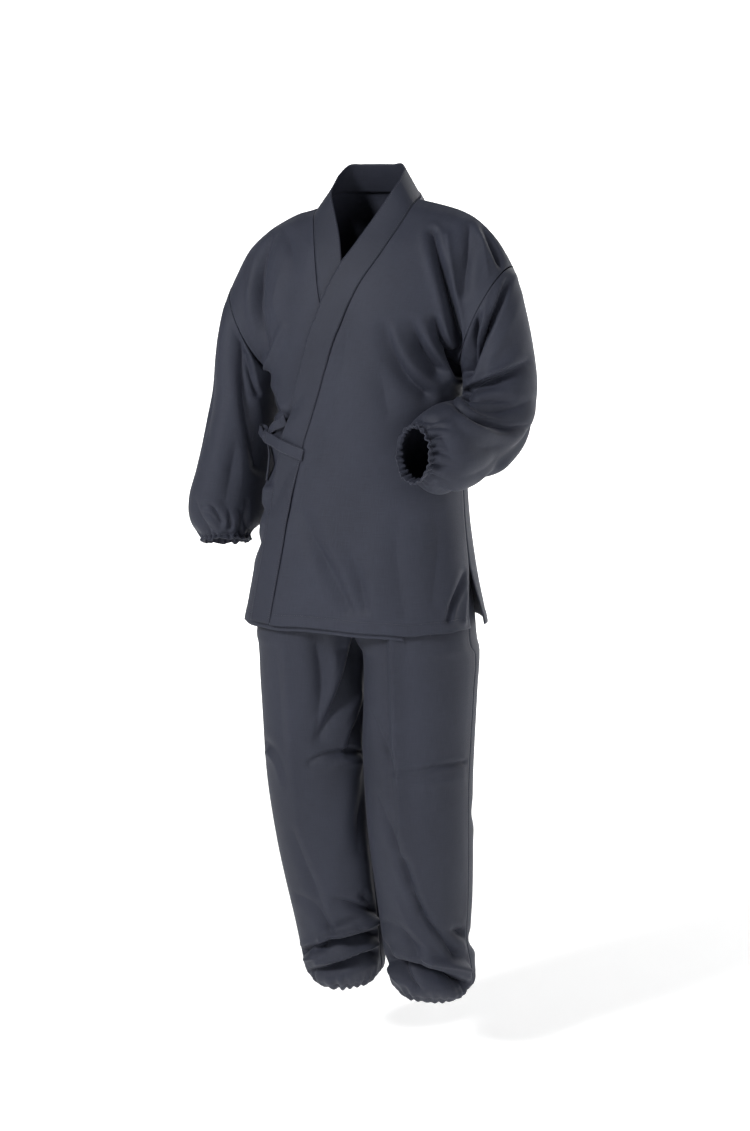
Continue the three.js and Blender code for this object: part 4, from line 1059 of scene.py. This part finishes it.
def sleeve(name, side, rings, folds, creases, slack_depth, seed, columns, rows):
    """A sleeve, shaped as a left one and mirrored for the right arm."""
    turns = np.linspace(0, 2 * math.pi, columns, endpoint=False)
    down, angle = np.meshgrid(np.linspace(0, 1, rows + 1), turns, indexing="ij")
    degrees = np.degrees(angle)
    grid = sleeve_surface(rings, angle, down)
    centre, _, _, arm = sleeve_frame(rings, down)
    normals, turned = outward(grid, True, unit(grid - centre))
    mirror = np.array([side, 1, 1])
    # The folds, kept off the seam and the cuff, and off the body on the inner side.
    move = round_folds(degrees, down, folds, ROUND_SLEEVE, -SLEEVE_LONG)
    move -= seen_creases(grid * mirror, normals * mirror, creases)
    move *= smooth(down / 0.035) * smooth((0.97 - down) / 0.1)
    inner = smooth((-np.cos(angle) - 0.2) / 0.6) * smooth((0.8 - down) / 0.2)
    move = mix(move, np.minimum(move, 0), inner)
    slack = hump((degrees - SLACK_TURN) / SLACK_REACH)
    move += slack_depth * (slack * smooth((down - 0.14) / 0.12) * smooth((0.84 - down) / 0.2))
    # The gathers, the line of the elastic and the dip of the armhole seam.
    rise = 0.8 + 0.05 * np.sin(5 * angle + seed) + 0.04 * np.sin(11 * angle + 2 * seed)
    drawn = smooth((down - rise) / (ELASTIC_DOWN - rise)) ** 1.6
    past = 1 - 0.35 * smooth((down - ELASTIC_DOWN) / 0.05)
    move += CUFF_GATHER_DEPTH * drawn * gathers(angle, CUFF_GATHERS, seed) * past
    softly = SOFT_GATHER_DEPTH * smooth((down - 0.66) / 0.25) * gathers(angle, SOFT_GATHERS, seed + 5)
    move += softly * smooth((0.95 - down) / 0.1)
    move -= CUFF_ELASTIC_DENT * hump((down - ELASTIC_DOWN) / 0.01)
    move -= SEAM_DIP * hump(down / 0.012)
    droop = smooth((down - 0.93) / 0.07)
    droop = droop * (RUFFLE_DROOP * np.sin(angle - 0.6) + 1.3 * gathers(angle, RUFFLE_GATHERS, seed + 2))
    grid = grid + normals * move[..., None] + arm * droop[..., None]
    if side < 0:
        grid[..., 0] *= -1
        turned = not turned
    hem = smooth((down - ELASTIC_DOWN + 0.03) / 0.01)
    return cloth_piece(name, grid, turned, jacket_cloth, closed=True, doubled=hem)


sleeve_left = sleeve("Left_sleeve", 1, SLEEVE_LEFT, SLEEVE_LEFT_FOLDS, SLEEVE_LEFT_CREASES, 0, 21, 192, 160)
sleeve_right = sleeve(
    "Right_sleeve", -1, SLEEVE_RIGHT, SLEEVE_RIGHT_FOLDS, SLEEVE_RIGHT_CREASES, RIGHT_SLACK, 22, 176, 160)
print("sleeves:", len(sleeve_left.data.polygons) + len(sleeve_right.data.polygons), "faces")

# %% [markdown]
# ## The trousers
# Each leg is a front and a back panel. Their inner seams meet in the middle above the crotch and close
# round the leg below it. The hems are drawn in by elastic and the cloth blouses over it.

# %% Sizes of the trousers
LEG = table("z in_front in_back in_x mid_x fore aft side_left side_right", [
    (-392, -74, 70, 0, 52, -78, 74, 122, 122),
    (-440, -78, 76, 0, 56, -82, 82, 130, 130),
    (-500, -82, 88, 0, 60, -87, 94, 140, 140),
    (-560, -84, 97, 0, 68, -92, 108, 151, 151),
    (-620, -78, 88, 0, 80, -97, 107, 163, 162),
    (-665, -62, 70, 1, 91, -102, 100, 174, 171),
    (-698, -20, 38, 3, 93, -101, 98, 179, 175),
    (-712, 10, 12, 5, 93, -100, 96, 180, 176),
    (-770, 8, 10, 7, 93, -95, 90, 178, 175),
    (-860, 6, 8, 8, 93, -86, 84, 174, 172),
    (-950, 6, 8, 9, 92, -80, 82, 169, 168),
    (-1040, 14, 16, 9, 89, -66, 90, 162, 164),
    (-1120, 24, 26, 10, 86, -50, 98, 153, 158),
    (-1190, 34, 36, 11, 82, -34, 103, 144, 152),
    (-1236, 40, 42, 12, 80, -24, 104, 148, 146),
    (-1262, 44, 46, 13, 80, -18, 102, 149, 141),
    (-1278, 46, 48, 20, 80, -6, 94, 142, 134),
    (-1286, 47, 49, 31, 80, 4, 84, 131, 124),
])
LEG_SHIFT = 17
LEG_HEM_TILT = 9
LEG_FULL = 0.88
CROTCH_Z = -706
ELASTIC_Z = -1276
LEG_HEM_DOUBLE_Z = -1268
GATHER_Z = -1246
BLOUSE_Z = -1244
KNEE_Z = -760
LEG_GATHERS = 23
LEG_GATHER_DEPTH = 1.8
LEG_ELASTIC_DENT = 1.2
LEG_WAVE_LONG = 130
LEG_WAVE_DEPTH = 0.8
LEG_SEED = 31
ROUND_LEG = 1.3
LEG_SEAM = 0.0006
BESIDE_RIDGE = 6
# Columns: turn0, z0, turn1, z1, reach, depth. Turn in degrees: 0 inner seam, 90 middle, 180 outer seam.
LEG_FOLDS = {
    "back_left": [
        (90, -640, 94, -1180, 10, 4),
        (20, -740, 100, -715, 16, -7),
        (20, -930, 110, -960, 16, -7),
        (60, -1010, 150, -980, 14, -5),
        (40, -1150, 120, -1205, 14, -8),
        (90, -1236, 160, -1200, 12, -7),
    ],
    "back_right": [
        (90, -640, 94, -1180, 10, 4),
        (20, -730, 90, -712, 16, -7),
        (30, -950, 120, -925, 16, -7),
        (60, -1140, 130, -1190, 14, -8),
        (30, -1216, 110, -1240, 12, -7),
    ],
}
LEG_CREASES = {
    "front_left": [
        # The pressed crease, and the slack beside the inner leg.
        ("392,630 394,690 396,756 399,806 402,856", 6.4, (-4.4, -5, -1.6), 0.3),
        ("372,712 382,740 395,768", 5, (1, 2.4, 2)),
        ("376,796 386,820 398,850 410,884", 5, (1.5, 3, 2.5), 0.2),
        # Behind the knee's front.
        ("396,772 422,771 440,766 471,761", 2.8, (1.5, 2, 2.5)),
        ("402,782 430,784 468,776", 8, (-0.3, -1, -0.5)),
        # Long folds down to the blousing over the elastic.
        ("401,862 411,890 424,918 440,936 454,954", 4.8, (2, 5.5, 4.4), 0.2),
        ("424,917 436,926 446,942", 3.6, (-1, -2, -1)),
        ("386,922 402,932 413,946 422,961", 5, (1.4, 3.4, 3.4)),
        ("398,900 412,926 430,948", 7, (-1, -3, -2)),
        # The overhanging roll and the hem's fold under it.
        ("391,961 408,965 424,971 448,978 469,985", 5.4, (7, 15, 16), -0.35),
        ("377,937 385,950 393,963 406,976 418,988", 3.8, (8, 9, 4), 0.2),
        ("396,950 424,958 452,965 470,971", 6, (-2, -7, -6)),
        ("384,952 391,966 400,982", 4, (-3, -5, -2)),
        ("468,932 460,932 450,930", 5, (9, 5, 1)),
        ("470,950 458,946 446,950", 6, (-2, -2, 0)),
    ],
    "front_right": [
        # The deep slack from the crotch.
        ("358,640 350,672 338,702 320,736", 8, (9, 10, 3.5), 0.35),
        ("367,690 360,714 351,736 347,752", 4.6, (3, 8, 3.5), 0.3),
        ("364,668 356,696 344,722", 6, (-1, -3.5, -1)),
        ("314,636 320,662 322,692 315,738", 9, (4, 5, 1.6)),
        ("333,640 334,664 330,694", 7, (-0.5, -2.4, -1)),
        ("284,636 288,700 292,762 300,830 308,870", 9, (-1, -2, -1)),
        ("276,650 279,700 283,750", 7, (0.5, 1.5, 1)),
        # The knee.
        ("309,762 321,755 338,751 352,750 367,753", 3.4, (2, 4.5, 4), -0.3),
        ("312,772 336,764 366,762", 8, (-0.5, -2.5, -1.5)),
        ("266,742 273,750 280,762 287,780", 5, (1.6, 1.4, 0.6)),
        ("268,752 276,764 281,784", 4, (-2, -1.5, -0.5)),
        ("367,784 360,812 357,850", 9, (3, 5, 2)),
        # Folds that gather towards the hem.
        ("294,832 304,860 313,884 322,906", 5, (1, 3, 1.6)),
        ("296,894 310,902 321,915 330,932", 5, (1, 3, 3.6)),
        ("336,900 352,904 366,908 382,913", 4.6, (2, 6, 5), -0.2),
        ("363,897 370,904 381,912", 4.6, (4, 4.5, 2)),
        ("322,938 346,931 368,922 383,914", 4.6, (-4, -8, -5)),
        ("318,949 331,942 350,939 374,932", 4.6, (8, 14, 12), -0.35),
        ("324,937 338,930 356,926", 5, (1, 3, 1.5)),
        ("310,972 330,968 353,958 373,950", 5, (6, 12, 10), -0.3),
        ("308,958 316,955 326,953", 3.8, (-3, -4, -1)),
        ("300,953 311,949 322,948", 4, (7, 6, 3)),
        ("318,962 342,957 368,947", 4, (-2, -5, -2)),
    ],
}


# %% The legs' surface
def leg_surface(side, way, t, z):
    """One trouser panel: t runs from 0 at the inner seam to 1 at the outer seam."""
    level = {name: read(LEG, "z", z, name) for name in LEG if name != "z"}
    inner_y = level["in_front"] if way < 0 else level["in_back"]
    middle_y = level["fore"] if way < 0 else level["aft"]
    seam_y = mix(4, level["in_front"] + 1, smooth((-640 - z) / 120))
    c = np.cos(math.pi * t)
    s = np.sin(math.pi * t)
    end_x = np.where(c > 0, level["in_x"], level["side_left" if side > 0 else "side_right"])
    end_y = np.where(c > 0, inner_y, seam_y)
    x = level["mid_x"] + (end_x - level["mid_x"]) * np.abs(c) ** LEG_FULL
    y = end_y + (middle_y - end_y) * np.clip(s, 0, 1) ** LEG_FULL
    dip = LEG_HEM_TILT * smooth((-1150 - z) / 130) * way * s
    shift = LEG_SHIFT * smooth((-860 - z) / 420)
    return np.stack([side * x + shift, y, z + dip], axis=-1)


def leg_panel(name, side, way, folds, creases, seed, columns, rows):
    """One trouser panel, with its folds, the gathers and the line of the elastic."""
    down = mix(LEG["z"][-1], LEG["z"][0], np.linspace(0, 1, rows + 1) ** 0.8)
    z, t = np.meshgrid(down, np.linspace(LEG_SEAM, 1 - LEG_SEAM, columns + 1), indexing="ij")
    from_seam = np.minimum(t, 1 - t)
    grid = leg_surface(side, way, t, z)
    normals, turned = outward(grid, False, np.array([0, way, 0]))
    move = round_folds(180 * t, z, folds, ROUND_LEG, 1)
    move -= seen_creases(grid, normals, creases)
    beside = smooth((KNEE_Z - z) / 120) * smooth((z - BLOUSE_Z) / 30)
    move += BESIDE_RIDGE * hump((t - 0.09) / 0.12) * beside
    move += ease_waves(180 * t * ROUND_LEG + 400 * side, z, seed, LEG_WAVE_LONG, LEG_WAVE_DEPTH)
    move *= smooth(from_seam / 0.07)
    around = math.pi * t * way
    drawn = smooth((GATHER_Z + 6 * np.sin(6 * around + seed) - z) / 34)
    move += LEG_GATHER_DEPTH * drawn * gathers(around, LEG_GATHERS, seed) * smooth(from_seam / 0.03)
    move -= LEG_ELASTIC_DENT * hump((z - ELASTIC_Z) / 3.0)
    grid = grid + normals * move[..., None]
    above = z[:, 0] > CROTCH_Z
    half = SEAM_GAP / 2
    grid[above, 0, 0] += side * half
    grid[~above, 0, 1] += way * half
    grid[:, -1, 1] += way * half
    hem = smooth((LEG_HEM_DOUBLE_Z - z) / 4)
    return cloth_piece(name, grid, turned, trouser_cloth, doubled=hem)


for side_name, side in (("left", 1), ("right", -1)):
    for way_name, way, size in (("front", -1, (110, 270)), ("back", 1, (60, 150))):
        title = f"{side_name.title()}_leg_{way_name}"
        key = f"{way_name}_{side_name}"
        rows_of = (LEG_FOLDS.get(key, []), LEG_CREASES.get(key, []))
        leg_panel(title, side, way, *rows_of, LEG_SEED + side + 2 * way, *size)
print("trouser panels:", [n for n in pieces if "leg" in n])

# %% [markdown]
# ## The ties
# Two short strings are sewn to the jacket, one to the collar's edge and one inside the side seam, and
# tied in a half bow at the wearer's right waist. Each is a flat tube of cloth, so it is a ribbon that
# follows a curve, and the knot is a small lump with the string wound over it.

# %% Places of the ties
# Columns: x, z, and how far the place lies out from the jacket's middle surface.
TIE_WIDTH = 19
TIE_KNOT = (-141, -381, 6.0)
KNOT_SIZE = (16.4, 13, 22)
KNOT_LEAN = math.radians(14)
TIE_TAIL = [(-136.4, -381.5, 7.4), (-120, -384, 8.6), (-98, -389, 8.2), (-76, -395, 7.4), (-58, -400, 7.2)]
TIE_ROOT = [(-98, -349, 1.7), (-108, -355, 1.6), (-120, -362, 2.2), (-137.6, -374.5, 4.2)]
TIE_DROP = [(-142, -391.6, 4.6), (-144, -410, 2.6), (-147, -430, 2.0), (-149, -450, 1.9)]
TIE_LOOP = [
    (-142.4, -378, 13.1), (-147, -374, 16), (-149.5, -372, 17), (-150.5, -371, 12), (-149.8, -372, 7.4),
    (-147.6, -374, 4.6),
]
TIE_SIDE = [(-155.2, -386, 1.9), (-152, -386, 1.9), (-146, -384.6, 2.4)]


# %% The ties
def on_front(places):
    """Points on the front, moved out, and the directions outwards there."""
    places = np.array(places, float)
    q, w = pin(places[:, 0], places[:, 1])
    here, by_q, by_w = slopes(q, w, SLOPE_STEP)
    normal = forward(by_q, by_w)
    dip = np.clip(laid_creases(here, FRONT_CREASES), -3, 1.5)
    return here + normal * (places[:, 2] - dip)[:, None], normal


def ribbon(name, places, width0, width1, upright=False):
    """A flat tube of cloth along places on the front."""
    points, normal = on_front(places)
    count = 8 * len(places)
    line = curve_through(points, count)
    out = unit(curve_through(normal, count))
    along = unit(np.gradient(line, axis=0))
    if upright:
        across = np.broadcast_to(unit(np.array([0.1, 0.25, 1.0])), line.shape)
    else:
        across = unit(np.cross(out, along))
    width = mix(width0, width1, np.linspace(0, 1, count))[:, None]
    shares = np.linspace(-0.5, 0.5, 7)
    grid = line[:, None, :] + across[:, None, :] * (shares[None, :, None] * width[:, :, None])
    face = unit(np.cross(along, across))
    puff = 0.3 * np.cos(math.pi * shares)[None, :, None] * face[:, None, :]
    turned = outward(grid, False, face[:, None, :])[1]
    piece = cloth_piece(name, grid + puff, turned, band_cloth)
    piece.modifiers["Thickness"].thickness_vertex_group = 1.0


ribbon("Tie_root", TIE_ROOT, TIE_WIDTH, 11)
ribbon("Tie_side", TIE_SIDE, 14, 12)
ribbon("Tie_loop", TIE_LOOP, 13, 12, upright=True)
ribbon("Tie_tail", TIE_TAIL, TIE_WIDTH, TIE_WIDTH)
ribbon("Tie_drop", TIE_DROP, 9, 14)


def knot(name):
    """The knot: a squashed ball, with the string's wrap as a raised band round it."""
    place, out = on_front([TIE_KNOT])
    theta = np.linspace(0.02, math.pi - 0.02, 25)[:, None]
    phi = np.linspace(0, 2 * math.pi, 36, endpoint=False)[None, :]
    x = np.sin(theta) * np.cos(phi)
    y = np.sin(theta) * np.sin(phi)
    z = np.cos(theta) + 0 * phi
    slant = z + 0.35 * x
    wrap = 1 + 0.1 * smooth((0.62 - np.abs(slant)) / 0.1) - 0.12 * hump((slant - 0.05) / 0.07)
    x, y, z = (part * long / 2 * 0.97 for part, long in zip((x * wrap, y * wrap, z), KNOT_SIZE))
    x, z = turned_by(x, z, KNOT_LEAN)
    x, y = turned_by(x, y, math.atan2(out[0, 1], out[0, 0]) + math.pi / 2)
    shape = np.stack([x, y, z], axis=-1)
    grid = shape + place[0]
    turned = outward(grid, True, unit(shape))[1]
    cloth_piece(name, grid, turned, band_cloth, closed=True)


knot("Tie_knot")
print("ties:", [n for n in pieces if n.startswith("Tie")])

# %% [markdown]
# ## Stitching
# Each hem, vent, collar edge and elastic channel is held by a row of short stitches. They could be
# modelled one by one or painted as bumps; a small node tree that sets one stitch along every row keeps
# them even, real in size and quick to change.

# %% A thread finish
THREAD_DARK = (0.030, 0.033, 0.048)
THREAD_LIGHT = (0.058, 0.062, 0.084)


def thread_finish():
    """Polyester thread, a little lighter than the cloth, with uneven dye."""
    material = plain_finish("Navy thread", {"Roughness": 0.55, "Sheen Weight": 0.1})
    nodes = material.node_tree.nodes
    place = nodes.new("ShaderNodeTexCoord")
    noise = nodes.new("ShaderNodeTexNoise")
    noise.inputs["Scale"].default_value = 900.0
    ramp = colour_ramp(nodes, THREAD_DARK, THREAD_LIGHT)
    join(material.node_tree, [
        (place, "Object", noise, "Vector"),
        (noise, "Fac", ramp, "Fac"),
        (ramp, "Color", nodes["Principled BSDF"], "Base Color"),
    ])
    return material


thread = thread_finish()


# %% The stitch tree
def stitch_tree():
    """A tree that sets a small rounded stitch along every edge line, at a pitch."""
    tree = bpy.data.node_groups.new("Rows of stitches", "GeometryNodeTree")
    sockets = {
        "Lines": "Geometry", "Pitch": "Float", "Half length": "Float", "Half thickness": "Float",
        "Unevenness": "Float", "Seed": "Int", "Thread": "Material",
    }
    for name, kind in sockets.items():
        tree.interface.new_socket(name, in_out="INPUT", socket_type="NodeSocket" + kind)
    tree.interface.new_socket("Stitches", in_out="OUTPUT", socket_type="NodeSocketGeometry")
    nodes = tree.nodes
    start = nodes.new("NodeGroupInput")
    end = nodes.new("NodeGroupOutput")
    curve = nodes.new("GeometryNodeMeshToCurve")
    spaced = nodes.new("GeometryNodeResampleCurve")
    spaced.mode = "LENGTH"
    tangent = nodes.new("GeometryNodeInputTangent")
    heading = nodes.new("FunctionNodeAlignRotationToVector")
    heading.axis = "X"
    bead = nodes.new("GeometryNodeMeshIcoSphere")
    bead.inputs["Radius"].default_value = 1.0
    bead.inputs["Subdivisions"].default_value = 1
    size = nodes.new("ShaderNodeCombineXYZ")
    shaped = nodes.new("GeometryNodeTransform")
    chance = nodes.new("FunctionNodeRandomValue")
    chance.data_type = "FLOAT"
    chance.inputs[3].default_value = 1.0
    least = nodes.new("ShaderNodeMath")
    least.operation = "SUBTRACT"
    least.inputs[0].default_value = 1.0
    placed = nodes.new("GeometryNodeInstanceOnPoints")
    realize = nodes.new("GeometryNodeRealizeInstances")
    finish = nodes.new("GeometryNodeSetMaterial")
    join(tree, [
        (start, "Lines", curve, "Mesh"),
        (curve, "Curve", spaced, "Curve"),
        (start, "Pitch", spaced, "Length"),
        (tangent, "Tangent", heading, "Vector"),
        (start, "Half length", size, "X"),
        (start, "Half thickness", size, "Y"),
        (start, "Half thickness", size, "Z"),
        (bead, "Mesh", shaped, "Geometry"),
        (size, "Vector", shaped, "Scale"),
        (start, "Unevenness", least, 1),
        (least, "Value", chance, 2),
        (start, "Seed", chance, "Seed"),
        (spaced, "Curve", placed, "Points"),
        (shaped, "Geometry", placed, "Instance"),
        (heading, "Rotation", placed, "Rotation"),
        (chance, 1, placed, "Scale"),
        (placed, "Instances", realize, "Geometry"),
        (realize, "Geometry", finish, "Geometry"),
        (start, "Thread", finish, "Material"),
        (finish, "Geometry", end, "Stitches"),
    ])
    return tree


stitches_tree = stitch_tree()


def inside_edge(name, edge, distance, lift):
    """A line of points on a piece, distance from its top, hem, first or last edge, lift above its middle."""
    grid = pieces[name]["grid"]
    normals = pieces[name]["normals"]
    if edge in ("top", "hem"):
        grid = grid.transpose(1, 0, 2)
        normals = normals.transpose(1, 0, 2)
    if edge in ("hem", "last"):
        grid = grid[:, ::-1]
        normals = normals[:, ::-1]
    steps = np.linalg.norm(np.diff(grid, axis=1), axis=2)
    line = np.empty((len(grid), 3))
    for i, row in enumerate(grid):
        along = np.concatenate([[0], np.cumsum(steps[i])])
        raised = row + normals[i] * lift
        line[i] = [np.interp(distance, along, raised[:, k]) for k in range(3)]
    return line


def stitch_rows(name, lines, pitch=3.4, half_length=1.25, half_thickness=0.26, seed=5):
    """One object with a row of stitches along each line of points."""
    points = np.concatenate(lines)
    edges = []
    first = 0
    for line in lines:
        edges += [(first + i, first + i + 1) for i in range(len(line) - 1)]
        first += len(line)
    mesh = bpy.data.meshes.new(name + " lines")
    mesh.from_pydata((points * MM).tolist(), edges, [])
    rows = in_scene(name + " lines", mesh)
    modifier = rows.modifiers.new("Stitches", "NODES")
    modifier.node_group = stitches_tree
    values = {
        "Pitch": pitch * MM, "Half length": half_length * MM, "Half thickness": half_thickness * MM,
        "Unevenness": 0.2, "Seed": seed, "Thread": thread,
    }
    for item in stitches_tree.interface.items_tree:
        if item.name in values:
            modifier[item.identifier] = values[item.name]
    ready = rows.evaluated_get(bpy.context.evaluated_depsgraph_get())
    sewn = bpy.data.meshes.new_from_object(ready)
    sewn.name = name
    sewn.shade_smooth()
    bpy.data.objects.remove(rows)
    print(name, len(sewn.polygons), "faces")
    return in_scene(name, sewn)


# %% Where the rows run
# Lifts are from the middle of the cloth to the thread, and rows are distances from an edge, all in mm.
DOUBLE_LIFT = 1.12
SINGLE_LIFT = 0.66
BAND_LIFT = 0.78
TIE_LIFT = 0.95
VENT_TURN = 12
BAND_ROW = 2.6
CUFF_ROWS = (11.5, 3.0)
LEG_HEM_ROWS = (4.0, 13.0)
LEG_SEAM_ROW = 3.0
LEG_SEAM_END_Z = -1266
TIE_ROW = 1.8
END_SKIP = 3
PANELS = ("Left_front", "Right_front", "Back")
VENT_EDGES = (("Left_front", "last"), ("Right_front", "last"), ("Back", "first"), ("Back", "last"))
SLEEVES = ("Left_sleeve", "Right_sleeve")
SEWN_TIES = ("Tie_tail", "Tie_root", "Tie_drop")
BOTH_EDGES = ("first", "last")

jacket_lines = [inside_edge(name, "hem", HEM_TURN, DOUBLE_LIFT)[END_SKIP:-END_SKIP] for name in PANELS]
for name, edge in VENT_EDGES:
    line = inside_edge(name, edge, VENT_TURN, SINGLE_LIFT)
    jacket_lines.append(line[line[:, 2] < VENT_TOP_Z][:-END_SKIP])
jacket_lines += [inside_edge("Collar_band", edge, BAND_ROW, BAND_LIFT) for edge in BOTH_EDGES]
jacket_lines += [inside_edge(name, "hem", row, DOUBLE_LIFT) for row in CUFF_ROWS for name in SLEEVES]
jacket_stitches = stitch_rows("Jacket_stitches", jacket_lines)
leg_names = [name for name in pieces if "leg" in name]
leg_lines = [inside_edge(name, "hem", row, DOUBLE_LIFT) for name in leg_names for row in LEG_HEM_ROWS]
for name in leg_names:
    seam = inside_edge(name, "last", LEG_SEAM_ROW, SINGLE_LIFT)
    leg_lines.append(seam[seam[:, 2] > LEG_SEAM_END_Z])
leg_stitches = stitch_rows("Trouser_stitches", leg_lines, seed=6)
tie_lines = [inside_edge(name, edge, TIE_ROW, TIE_LIFT) for name in SEWN_TIES for edge in BOTH_EDGES]
tie_stitches = stitch_rows("Tie_stitches", tie_lines, 2.6, 0.9, 0.22, 7)

# %% [markdown]
# ## Riding and replacing
# Every piece rides on the garment's one body and stands for the solid of the same panel.

# %% Pieces, their solids and what each sheet was cut from
# The solid each piece stands for. Then width, length and flat area in metres as the piece was cut, how it is
# held, and what it hangs from or lies on. The knot is part of the tail's strip, so it has no cut of its own.
CUTS = {
    "Back": ("jacket_back", 0.50, 0.70, 0.310, "hung", ["Collar_band"]),
    "Left_front": ("jacket_front_left", 0.34, 0.71, 0.186, "hung", ["Back", "Right_front"]),
    "Right_front": ("jacket_front_right", 0.33, 0.69, 0.176, "hung", ["Back"]),
    "Collar_band": ("collar_band", 0.046, 1.68, 0.077, "folded", ["Back", "Left_front", "Right_front"]),
    "Left_sleeve": ("sleeve_left", 0.43, 0.40, 0.150, "gathered", ["Left_front", "Back"]),
    "Right_sleeve": ("sleeve_right", 0.43, 0.40, 0.156, "gathered", ["Right_front", "Back"]),
    "Left_leg_front": ("trouser_front_left", 0.29, 0.97, 0.242, "gathered", ["Left_leg_back"]),
    "Left_leg_back": ("trouser_back_left", 0.30, 0.97, 0.236, "gathered", ["Left_leg_front"]),
    "Right_leg_front": ("trouser_front_right", 0.29, 0.97, 0.242, "gathered", ["Right_leg_back"]),
    "Right_leg_back": ("trouser_back_right", 0.30, 0.97, 0.236, "gathered", ["Right_leg_front"]),
    "Tie_root": ("tie_root", 0.019, 0.06, 0.0010, "folded", ["Left_front"]),
    "Tie_side": ("tie_side", 0.014, 0.031, 0.00042, "folded", ["Right_front"]),
    "Tie_loop": ("tie_loop", 0.014, 0.042, 0.00056, "folded", ["Tie_knot"]),
    "Tie_tail": ("tie_tail", 0.019, 0.115, 0.0021, "folded", ["Tie_knot", "Left_front"]),
    "Tie_drop": ("tie_drop", 0.014, 0.06, 0.0008, "folded", ["Tie_knot", "Right_front"]),
    "Tie_knot": ("tie_knot",),
}


for name, (node, *cut) in CUTS.items():
    piece = pieces[name]["piece"]
    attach(piece, "root")
    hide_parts(node)
    if not cut:
        continue
for piece in (jacket_stitches, leg_stitches, tie_stitches):
    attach(piece, "root")
